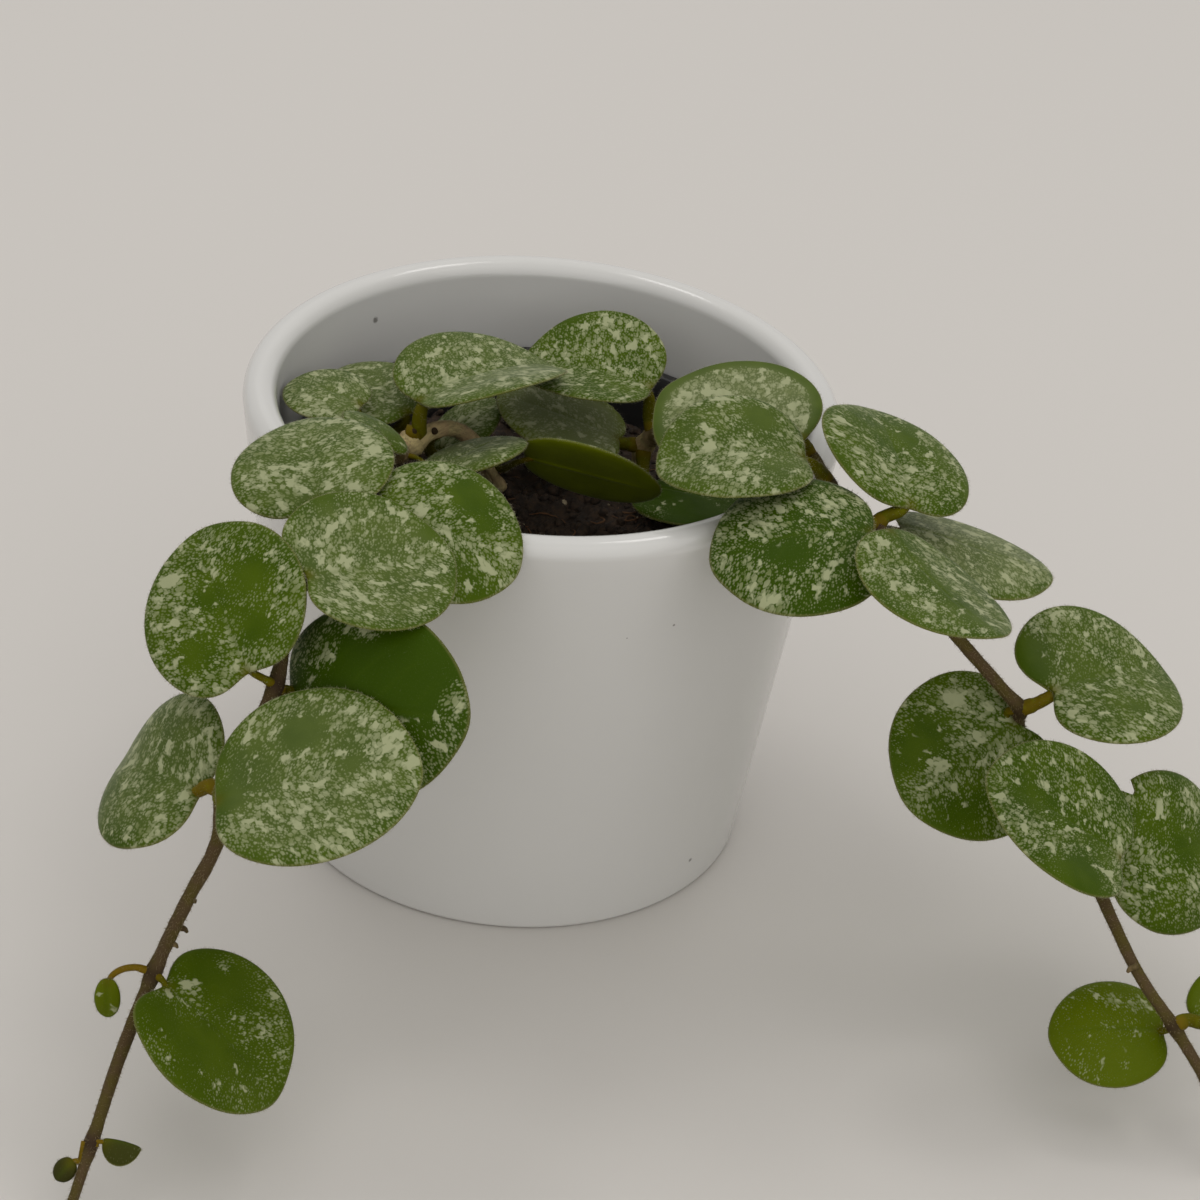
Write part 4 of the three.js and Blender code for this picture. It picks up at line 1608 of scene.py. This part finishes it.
    def build(self, vine: Vine, finish: list[bpy.types.Material]) -> None:
        """Makes the leaf on its vine.

        Args:
            vine: The stem that it grows from.
            finish: The blade's, the stalk's and the hairs' materials.
        """
        whole = joined([self._blade(), self._stalk(vine), self._down(vine)])
        piece = show(f"{self.name}_blade", whole, finish)
        settle(piece, f"leaf_{self.name}")


LEFT_ROWS = [
    (-8, 8, 52, 1.6, ""),
    (-8.4, 8.2, 58, 1.5, ""),
    (-9.4, 7.6, 63, 1.45, "foot"),
    (-11, 6.8, 66.6, 1.45, ""),
    (-12.5, 4.8, 69.4, 1.45, ""),
    (-14.4, 2.4, 71.8, 1.45, ""),
    (-16.6, 0.2, 73, 1.5, "arch"),
    (-19, -1.8, 73, 1.6, ""),
    (-21.4, -3.4, 71.9, 2.15, "knot"),
    (-23.4, -8, 72.4, 1.75, "bend"),
    (-26, -17, 75.6, 1.2, "rise"),
    (-28, -26, 80.4, 1.15, ""),
    (-29.4, -34, 83.8, 1.1, ""),
    (-31, -42, 84.9, 1.1, ""),
    (-32, -50, 84, 1.1, "rim"),
    (-35.6, -69.5, 79.6, 1.1, "upper"),
    (-36.3, -80.4, 73, 1.15, "middle"),
    (-42.4, -91.4, 61, 1.15, "lower"),
    (-42.8, -95, 54.4, 1.15, ""),
    (-46.8, -96.4, 44.2, 1.15, ""),
    (-51.8, -95.8, 29.2, 1.15, "low"),
    (-55.5, -105, 20, 1.05, ""),
    (-58.2, -116.2, 12, 1.0, "last"),
    (-59.9, -122, 6.4, 0.9, ""),
    (-61.5, -129, 2.2, 0.85, ""),
    (-64, -138, 1, 0.8, "tip"),
    (-67.5, -147, 0.9, 0.75, ""),
    (-70, -154, 0.8, 0.65, ""),
]
LEFT_SPURS = [
    Spur(
        Growth.STUB,
        ((-8.2, 4.4, 63.6, 0.8), (-7.2, 2.6, 63.2, 0.8), (-6.2, 1, 62.7, 1.05), (-5.5, 0, 62.5, 0.7)),
    ),
    Spur(Growth.BUD, ((-20.7, -3.0, 73.0, 0.9), (-21, -4, 74.3, 0.75), (-21.1, -4.4, 74.9, 0.4))),
    Spur(Growth.BUD, ((-17.7, -2.4, 73.8, 0.6), (-17.8, -2.7, 74.4, 0.45))),
    Spur(Growth.ROOT, ((-46.8, -95.8, 43.6, 0.6), (-45.7, -95.4, 43.1, 0.35))),
    Spur(Growth.ROOT, ((-48.8, -95.6, 38.1, 0.6), (-47.3, -95.3, 37.7, 0.45), (-46.9, -95.2, 37, 0.25))),
    Spur(Growth.ROOT, ((-49.8, -95.6, 35, 0.55), (-48.6, -95.3, 34.5, 0.4), (-48.3, -95.2, 33.9, 0.2))),
]
RIGHT_ROWS = [
    (17.5, 16, 52, 1.6, ""),
    (17.5, 16, 61, 1.6, ""),
    (17.8, 15, 64.4, 1.6, "foot"),
    (19.4, 12.4, 68, 1.55, "knot"),
    (26, 5, 72.5, 1.4, ""),
    (34, -5, 79, 1.3, ""),
    (40, -12.4, 83, 1.25, ""),
    (43.8, -18.5, 84.2, 1.25, "rim"),
    (46.6, -25.5, 83.8, 1.2, "outer"),
    (49.2, -31.5, 83.6, 1.15, ""),
    (53.4, -38, 83.8, 1.15, "upper"),
    (56.6, -39.8, 82.2, 1.1, "twin"),
    (61.2, -38.8, 75, 1.1, ""),
    (68.8, -36.6, 64.6, 1.1, ""),
    (78.6, -35.2, 53.4, 1.1, ""),
    (81.8, -35.5, 50.1, 1.1, "middle"),
    (82, -34.4, 47.4, 1.1, ""),
    (83.4, -34.4, 43, 1.1, ""),
    (88.2, -46, 38.4, 1.1, ""),
    (94, -59.5, 35, 1.1, "lower"),
    (97, -66, 31.8, 1.05, ""),
    (101.4, -73.2, 26.8, 1, ""),
    (107.3, -79, 21.4, 1, "low"),
    (112.4, -83, 15.4, 0.95, ""),
    (115.4, -85.2, 9.8, 0.95, ""),
    (118.9, -87.4, 4.4, 0.9, ""),
    (123, -91, 1.3, 0.85, ""),
    (129, -97, 1, 0.8, ""),
    (137, -103, 1, 0.75, "tip"),
    (144, -107, 0.8, 0.6, ""),
]
RIGHT_SPURS = [
    Spur(Growth.BUD, ((19.4, 12.4, 68, 0.9), (20.8, 11.2, 69.6, 0.7), (21.1, 10.9, 70.2, 0.4))),
    Spur(Growth.ROOT, ((81, -35.4, 51, 0.7), (79.9, -36, 52.4, 0.35))),
    Spur(Growth.ROOT, ((100.9, -73, 28.3, 0.55), (99.8, -73.2, 27.7, 0.45), (99.5, -73.4, 27.2, 0.25))),
]
SHOOT_ROWS = [
    (-27, 9, 52, 1.3, ""),
    (-27, 9, 61, 1.3, ""),
    (-28.2, 6.6, 65, 1.25, "middle"),
    (-30.6, 1.6, 67.8, 1.2, ""),
    (-32.2, -2, 69.8, 1.15, "top"),
    (-33, -4, 71, 0.9, ""),
]

# In this table a youth below 0 (left_10, right_2, right_7, right_12) is painted shade, and every dust
# value is painted sheen.
LEAVES = [
    Leaf("left_1", "foot", (-2.4, -2.9, 71.6), -14, -3, -57, 25.5, 19, 0.14, 0, 0.4, 0,
         silver=0.5, stalk_radius=0.6),
    Leaf("left_2", "arch", (-17, 10.6, 62.8), 51, 27, -18, 14.6, 14.2, 0.14, 0, 0.6, 0,
         silver=0.75, dust=0.2),
    Leaf("left_3", "knot", (-21, -2.5, 80.2), 37, 4, -9, 29.2, 29.2, 0.15, 20, 1.4, 1.8,
         silver=0.66, dust=0.13, stalk_radius=1.25, foot=(-20.2, -3.2, 73.6),
         spots=((0.24, 0.0, 0.05, 1.0), (0.36, 0.53, 0.05, 0.5), (0.71, 0.0, 0.12, 0.4))),
    Leaf("left_4", "rim", (-24, -52, 88.6), -12, -10, 14, 26.6, 28.4, 0.24, 4, 0.9, 3.5, silver=0.68,
         spots=((0.45, 0.32, 0.08, -1.2), (0.61, 0.14, 0.08, -0.5), (0.74, -0.37, 0.09, -0.6),
                (0.75, 0.1, 0.05, 0.7), (0.32, 0.19, 0.04, 0.8))),
    Leaf("left_5", "bend", (-16, -14.4, 73.4), 44, 5, -22, 17.6, 18.6, 0.16, 3, 0.5, 0,
         silver=0.7, stalk_radius=0.4, dust=0.2),
    Leaf("left_6", "rise", (-25.2, -16.2, 78.8), 108, -3, 28, 12.3, 12.2, 0.14, 0, 0.8, 0,
         silver=0.4, dust=0.08),
    Leaf("left_7", "rim", (-33, -54, 89.4), 102, 7, -12, 25.4, 25.6, 0.2, 0, 1.3, 0.4,
         silver=0.64, dust=0.15,
         spots=((0.17, 0.15, 0.05, 1.0), (0.55, -0.32, 0.05, 1.0), (0.35, -0.35, 0.04, 0.8),
                (-0.07, 0.06, 0.07, -0.6), (0.34, 0.31, 0.05, 0.7))),
    Leaf("left_8", "upper", (-33.2, -73.5, 87.7), 29, -5, 15, 26.8, 29, 0.26, 6, -1.2, -1.5,
         silver=0.64, dust=0.15,
         spots=((0.32, 0.45, 0.1, -0.3), (0.79, 0.14, 0.05, -1.1), (0.47, 0.0, 0.05, 1.5),
                (0.54, 0.37, 0.04, 0.9), (0.37, 0.37, 0.04, 0.9), (0.18, -0.18, 0.04, 0.8))),
    Leaf("left_9", "middle", (-40.5, -83.8, 77.2), 116, 25, -40, 28.3, 27.3, 0.18, 3, 1.2, 0,
         silver=0.66, youth_and_painted_shade=0.05, stalk_radius=0.6, rust=0.1,
         spots=((0.49, -0.23, 0.09, -0.6), (0.2, -0.14, 0.09, -0.6), (0.51, 0.08, 0.06, -0.4),
                (0.24, 0.23, 0.11, -0.35), (0.04, -0.29, 0.07, -0.4), (0.7, 0.25, 0.05, 1.3),
                (0.48, 0.27, 0.04, 0.8))),
    Leaf("left_10", "middle", (-35.6, -78.4, 70.9), -28, 12.5, 62, 33.1, 29.6, 0.2, 3, 3.6, 1.5,
         silver=0.5, youth_and_painted_shade=-1,
         spots=((0.66, 0.15, 0.21, -1.4), (0.38, 0.17, 0.12, -1.1), (0.85, 0.1, 0.07, 0.9),
                (0.22, 0.21, 0.06, 0.6), (0.4, 0.34, 0.07, 0.7), (0.59, 0.46, 0.06, 0.6))),
    Leaf("left_11", "lower", (-43.2, -100, 66), 3, 16, 18, 31.6, 32, 0.07, 12, 1.8, 0.6,
         silver=0.6, dust=0.16,
         spots=((0.43, 0.25, 0.08, -1.3), (0.66, 0.03, 0.07, -0.8), (0.06, -0.03, 0.06, -0.8),
                (0.66, 0.32, 0.04, 1.3), (0.6, 0.26, 0.03, 1.0), (0.83, 0.12, 0.05, 1.2))),
    Leaf("left_12", "lower", (-47.6, -89.9, 60), 126, -17, -46, 26.4, 26.4, 0.17, 14, 3.3, -0.9,
         silver=0.72, dust=0.16, rust=0.4),
    Leaf("left_13", "low", (-49.6, -98.2, 29.2), -24, -31, 2, 27.5, 28.3, 0.26, 13, 1.4, 1.5,
         silver=0.24, youth_and_painted_shade=0.3, stalk_radius=0.5,
         spots=((0.16, 0.34, 0.05, 0.7), (0.57, 0.24, 0.05, 0.7), (0.12, 0.08, 0.05, 0.6),
                (0.43, -0.12, 0.16, -0.5))),
    Leaf("left_14", "low", (-58.5, -97.4, 28.4), 270, -84, 0, 7.4, 4, 0.08, 10, 0.3, 0.4,
         silver=0, stalk_radius=0.9, youth_and_painted_shade=1.0, rust=0.7),
    Leaf("left_15", "last", (-60.6, -118.6, 10.6), 205, -50, -45, 4.2, 3.4, 0.06, 0, 0.3, 0,
         silver=0, stalk_radius=0.8, youth_and_painted_shade=2.0, rust=0.7, foot=(-59.4, -118.3, 10.2)),
    Leaf("left_16", "last", (-56.4, -116, 13.1), -6, -7, 0, 6, 3.8, 0.06, -58, 0.3, 0,
         silver=0, stalk_radius=0.6, youth_and_painted_shade=1.8, rust=0.7, foot=(-57.6, -116.2, 12.7)),
    Leaf("left_17", "tip", (-61.4, -137.4, 2.6), 15, 12, 0, 6.5, 5, 0.1, 0, 0.3, 0,
         silver=0, youth_and_painted_shade=2.0),
    Leaf("left_18", "tip", (-66.8, -139.4, 2.6), 195, 12, 0, 6.5, 5, 0.1, 0, 0.3, 0,
         silver=0, youth_and_painted_shade=2.0),
    Leaf("right_1", "foot", (13.7, 13.7, 66), 173, 14, -3, 24, 22, 0.16, 3, 0.5, 0,
         silver=0.65, youth_and_painted_shade=1.0, dust=0.5),
    Leaf("right_2", "foot", (19, 4.5, 62.4), -29, 7, -3, 20.4, 20.4, 0.18, 1, 0.4, 0,
         silver=0.1, youth_and_painted_shade=-1),
    Leaf("right_3", "knot", (18.2, 13.6, 77), 160, -1, -8, 25.8, 26.3, 0.17, 22, 0.5, 0.3, silver=0.64,
         spots=((0.48, -0.37, 0.06, 1.4), (0.54, -0.57, 0.05, -0.8), (0.67, -0.52, 0.04, 0.9),
                (0.72, -0.37, 0.06, -0.5), (0.27, -0.25, 0.05, 0.7))),
    Leaf("right_4", "rim", (42.6, -20, 88), 150, -2, -15, 27.8, 29, 0.1, -3, -0.6, 0,
         silver=0.78, dust=0.42, plain_rim=(0.82, 2.2),
         spots=((0.63, -0.1, 0.05, 1.2), (0.2, -0.19, 0.05, 1.0), (0.05, -0.06, 0.05, 1.0))),
    Leaf("right_5", "outer", (42.4, -29, 91.5), 190, 0, -7, 25.2, 26.4, 0.12, 18, 2.2, 1.9,
         silver=0.66, dust=0.1,
         spots=((0.26, -0.28, 0.08, -0.9), (0.47, 0.06, 0.06, 1.6), (0.33, 0.01, 0.05, 1.4),
                (0.65, 0.23, 0.05, 1.3), (0.63, -0.06, 0.05, 1.0), (0.7, 0.04, 0.05, 0.7),
                (0.51, -0.49, 0.05, 1.2), (0.37, -0.49, 0.04, 1.0))),
    Leaf("right_6", "upper", (59.4, -35.6, 87), 104, 12, 20, 26.9, 26.8, 0.17, 8, 1.3, 0.7,
         silver=0.62, dust=0.02,
         spots=((0.65, -0.28, 0.05, 1.2), (0.61, 0.35, 0.04, 0.9), (0.61, -0.12, 0.05, -0.6))),
    Leaf("right_7", "upper", (53.1, -45, 88.2), 192, -7, -15, 28.2, 28.8, 0.18, 3, 2.8, 1.5,
         silver=0.6, youth_and_painted_shade=-1,
         spots=((0.6, -0.08, 0.05, 1.3), (0.87, 0.03, 0.04, 1.3), (0.67, 0.37, 0.04, 1.1),
                (0.36, 0.32, 0.05, 0.7), (0.52, 0.13, 0.12, -0.7), (0.41, -0.16, 0.08, -0.6))),
    Leaf("right_8", "twin", (54.4, -45.4, 87.3), -51, -19, -18, 26.8, 27.4, 0.06, -10, -1, -3,
         silver=0.6, dust=0.04),
    Leaf("right_9", "twin", (58.8, -27.6, 78.2), -5, -15, -6, 28.4, 25.5, 0.17, -6, 0.4, -1.3,
         silver=0.8, dust=0.3),
    Leaf("right_10", "middle", (86.5, -36, 54.8), 32, -1, 16, 29, 30.2, 0.36, 14, 1.9, 1.3,
         silver=0.68, dust=0.08, rust=0.35,
         spots=((0.0, 0.29, 0.08, -1.2), (-0.03, 0.14, 0.07, -0.9), (0.28, 0.43, 0.04, 0.9),
                (0.42, -0.09, 0.05, 0.7), (0.2, -0.09, 0.04, 0.8), (0.05, -0.33, 0.04, 0.7),
                (0.4, -0.29, 0.08, -0.7))),
    Leaf("right_11", "middle", (81.5, -34.8, 47.3), 220, -21, -38, 28.4, 28.4, 0.3, 0, 0, 0,
         silver=0.52, stalk_radius=0.6, youth_and_painted_shade=0.1,
         spots=((0.25, -0.35, 0.05, 1.4), (0.09, -0.16, 0.06, 1.5), (0.38, -0.08, 0.04, 0.9),
                (0.53, -0.29, 0.14, -0.25), (0.77, 0.05, 0.11, -0.15))),
    Leaf("right_12", "lower", (97.4, -62.4, 41.2), 174, 30, -12, 28.7, 28.8, 0.21, 11, 0.6, 1,
         silver=0.6, youth_and_painted_shade=-0.25,
         spots=((0.25, 0.35, 0.11, -0.8), (0.6, -0.12, 0.04, 0.9), (0.26, -0.27, 0.04, 0.9),
                (0.22, -0.18, 0.03, 0.9))),
    Leaf("right_13", "lower", (98.4, -58, 36.6), 36, -6, 50, 28.2, 26.9, 0.11, 11, 4.3, 0,
         silver=0.55, nick=(1.98, 0.15),
         spots=((0.38, 0.28, 0.05, 1.2),)),
    Leaf("right_14", "low", (106.5, -76, 18.6), 182, -6, -27, 19.6, 18.4, 0.17, 0, 1.8, 0,
         silver=0.2, stalk_radius=0.6, youth_and_painted_shade=0.7,
         spots=((0.41, -0.26, 0.07, 0.9), (0.21, -0.23, 0.07, 1.0), (0.34, 0.31, 0.06, 0.7))),
    Leaf("right_15", "low", (112.4, -77.4, 21.4), 35, 10, 10, 17, 16, 0.17, 5, 1, 0,
         silver=0.25, youth_and_painted_shade=0.6),
    Leaf("right_16", "tip", (138.6, -99.4, 2.8), 66, 10, 0, 11, 9.5, 0.15, 0, 0.5, 0,
         silver=0.15, youth_and_painted_shade=0.6),
    Leaf("right_17", "tip", (135.4, -106.4, 2.8), 246, 10, 0, 11, 9.5, 0.15, 0, 0.5, 0,
         silver=0.15, youth_and_painted_shade=0.6),
    Leaf("back_1", "top", (-30.2, -1, 77), 160, 3, 0, 14.5, 17, 0.14, 4, 0.6, 0, silver=0.75, dust=0.2),
    Leaf("back_2", "middle", (-22.6, 3.5, 74.2), 127, -2, -6, 22, 18.5, 0.16, 0, 1.2, 0,
         silver=0.75, dust=0.2),
]


class Plant:
    """The two trailing vines and the short shoot, with their leaves."""

    def __init__(self) -> None:
        """Lays out the stems."""
        self.vines = {
            "left": Vine("vine_left", LEFT_ROWS, LEFT_SPURS, woody=38.0, seed=3),
            "right": Vine("vine_right", RIGHT_ROWS, RIGHT_SPURS, woody=17.0, seed=5),
            "back": Vine("shoot_back", SHOOT_ROWS, woody=14.0, seed=8),
        }

    def build(self) -> None:
        """Makes every stem and every leaf."""
        bark = Bark().materials()
        for vine in self.vines.values():
            vine.build(bark)
        skins = SplashedSkin().materials()
        for leaf in LEAVES:
            leaf.build(self.vines[leaf.name.split("_")[0]], skins)


@dataclass
class Studio:
    """The table, the soft light and the camera."""

    eye: Row = (0.0, -531.1, 379.4)
    aim: Row = (0.0, 0.0, 41.2)
    pan: float = -1.1417
    tilt: float = 0.0466
    roll: float = -4.7834
    focal_pixels: float = 3648.84
    table_half: float = 2500.0
    near_clip: float = 0.05
    far_clip: float = 20.0
    panels: tuple[tuple[str, Row, float, float], ...] = (
        ("left_panel", (-0.34, 0.34, 1.20), 0.26, 0.9),
        ("right_panel", (0.34, 0.34, 1.20), 0.26, 0.9),
        ("ceiling_panel", (0.1, 0.55, 1.40), 2.2, 3.6),
        ("front_panel", (0.2, -1.20, 1.00), 2.2, 8.6),
    )
    lamp_colour: Colour = (1.0, 0.985, 0.96)
    room_colour: Colour = (1.0, 0.985, 0.965)
    room_strength: float = 0.63
    table: PaleTable = field(default_factory=PaleTable)

    def build(self) -> None:
        """Makes all of it."""
        self._table()
        self._light()
        self._camera()

    def _table(self) -> None:
        """Lays the table, a flat square."""
        half = self.table_half
        points = np.array([[-half, -half, 0], [half, -half, 0], [half, half, 0], [-half, half, 0]])
        square = Surface(points, np.array([[0, 1, 2, 3]]), np.zeros((0, 3)))
        top = show("table_top", square, [self.table.material()])

    def _light(self) -> None:
        """Hangs two small panels and two wide ones, one behind and one in front, in a pale room."""
        for name, place, wide, energy in self.panels:
            lamp = bpy.data.lights.new(name, "AREA")
            lamp.shape = "SQUARE"
            lamp.size = wide
            lamp.energy = energy
            lamp.color = self.lamp_colour
            panel = bpy.data.objects.new(name, lamp)
            panel.location = place
            panel.rotation_euler = (-Vector(place)).to_track_quat("-Z", "Y").to_euler()
            bpy.context.scene.collection.objects.link(panel)
        room = bpy.data.worlds.new("pale_room")
        room.use_nodes = True
        backdrop = room.node_tree.nodes["Background"]
        backdrop.inputs["Color"].default_value = (*self.room_colour, 1.0)
        backdrop.inputs["Strength"].default_value = self.room_strength
        bpy.context.scene.world = room
        bpy.context.scene.view_settings.view_transform = "Standard"

    def _camera(self) -> None:
        """Sets the camera where the photograph was taken, aimed and rolled as it was."""
        eye, aim = np.array(self.eye), np.array(self.aim)
        forward = unit(aim - eye)
        right = unit(np.cross(forward, [0.0, 0.0, 1.0]))
        up = np.cross(right, forward)
        axes = [right, up, forward]
        for fixed, degrees in ((1, self.pan), (0, self.tilt), (2, self.roll)):
            axes = [self._spun(axis, axes[fixed], degrees) for axis in axes]
        right, up, forward = axes
        lens = bpy.data.cameras.new("photo_camera")
        lens.sensor_fit = "HORIZONTAL"
        lens.sensor_width = SENSOR_WIDTH
        lens.lens = self.focal_pixels / PHOTO_WIDTH * SENSOR_WIDTH
        lens.clip_start, lens.clip_end = self.near_clip, self.far_clip
        camera = bpy.data.objects.new("photo_camera", lens)
        pose = np.eye(4)
        pose[:3, 0], pose[:3, 1], pose[:3, 2], pose[:3, 3] = right, up, -forward, eye * MM
        camera.matrix_world = Matrix(pose.tolist())
        bpy.context.scene.collection.objects.link(camera)
        bpy.context.scene.camera = camera

    @staticmethod
    def _spun(vector: Array, axis: Array, degrees: float) -> Array:
        """Turns a vector about an axis by the right-hand rule.

        The turned vector is the vector by the cosine, its cross product with the axis by the sine,
        and what lies along the axis by 1 less the cosine.

        Args:
            vector: What is turned.
            axis: The axis, of length 1.
            degrees: How far it is turned.

        Returns:
            The turned vector.
        """
        a = math.radians(degrees)
        turned_part = vector * math.cos(a) + np.cross(axis, vector) * math.sin(a)
        return turned_part + axis * np.dot(axis, vector) * (1 - math.cos(a))


def main() -> None:
    """Builds the scene."""
    logging.basicConfig(level=logging.INFO, format="%(message)s")
    Studio().build()
    CoverPot().build()
    GrowingPot().build()
    Soil().build()
    Plant().build()


if __name__ == "__main__":
    main()
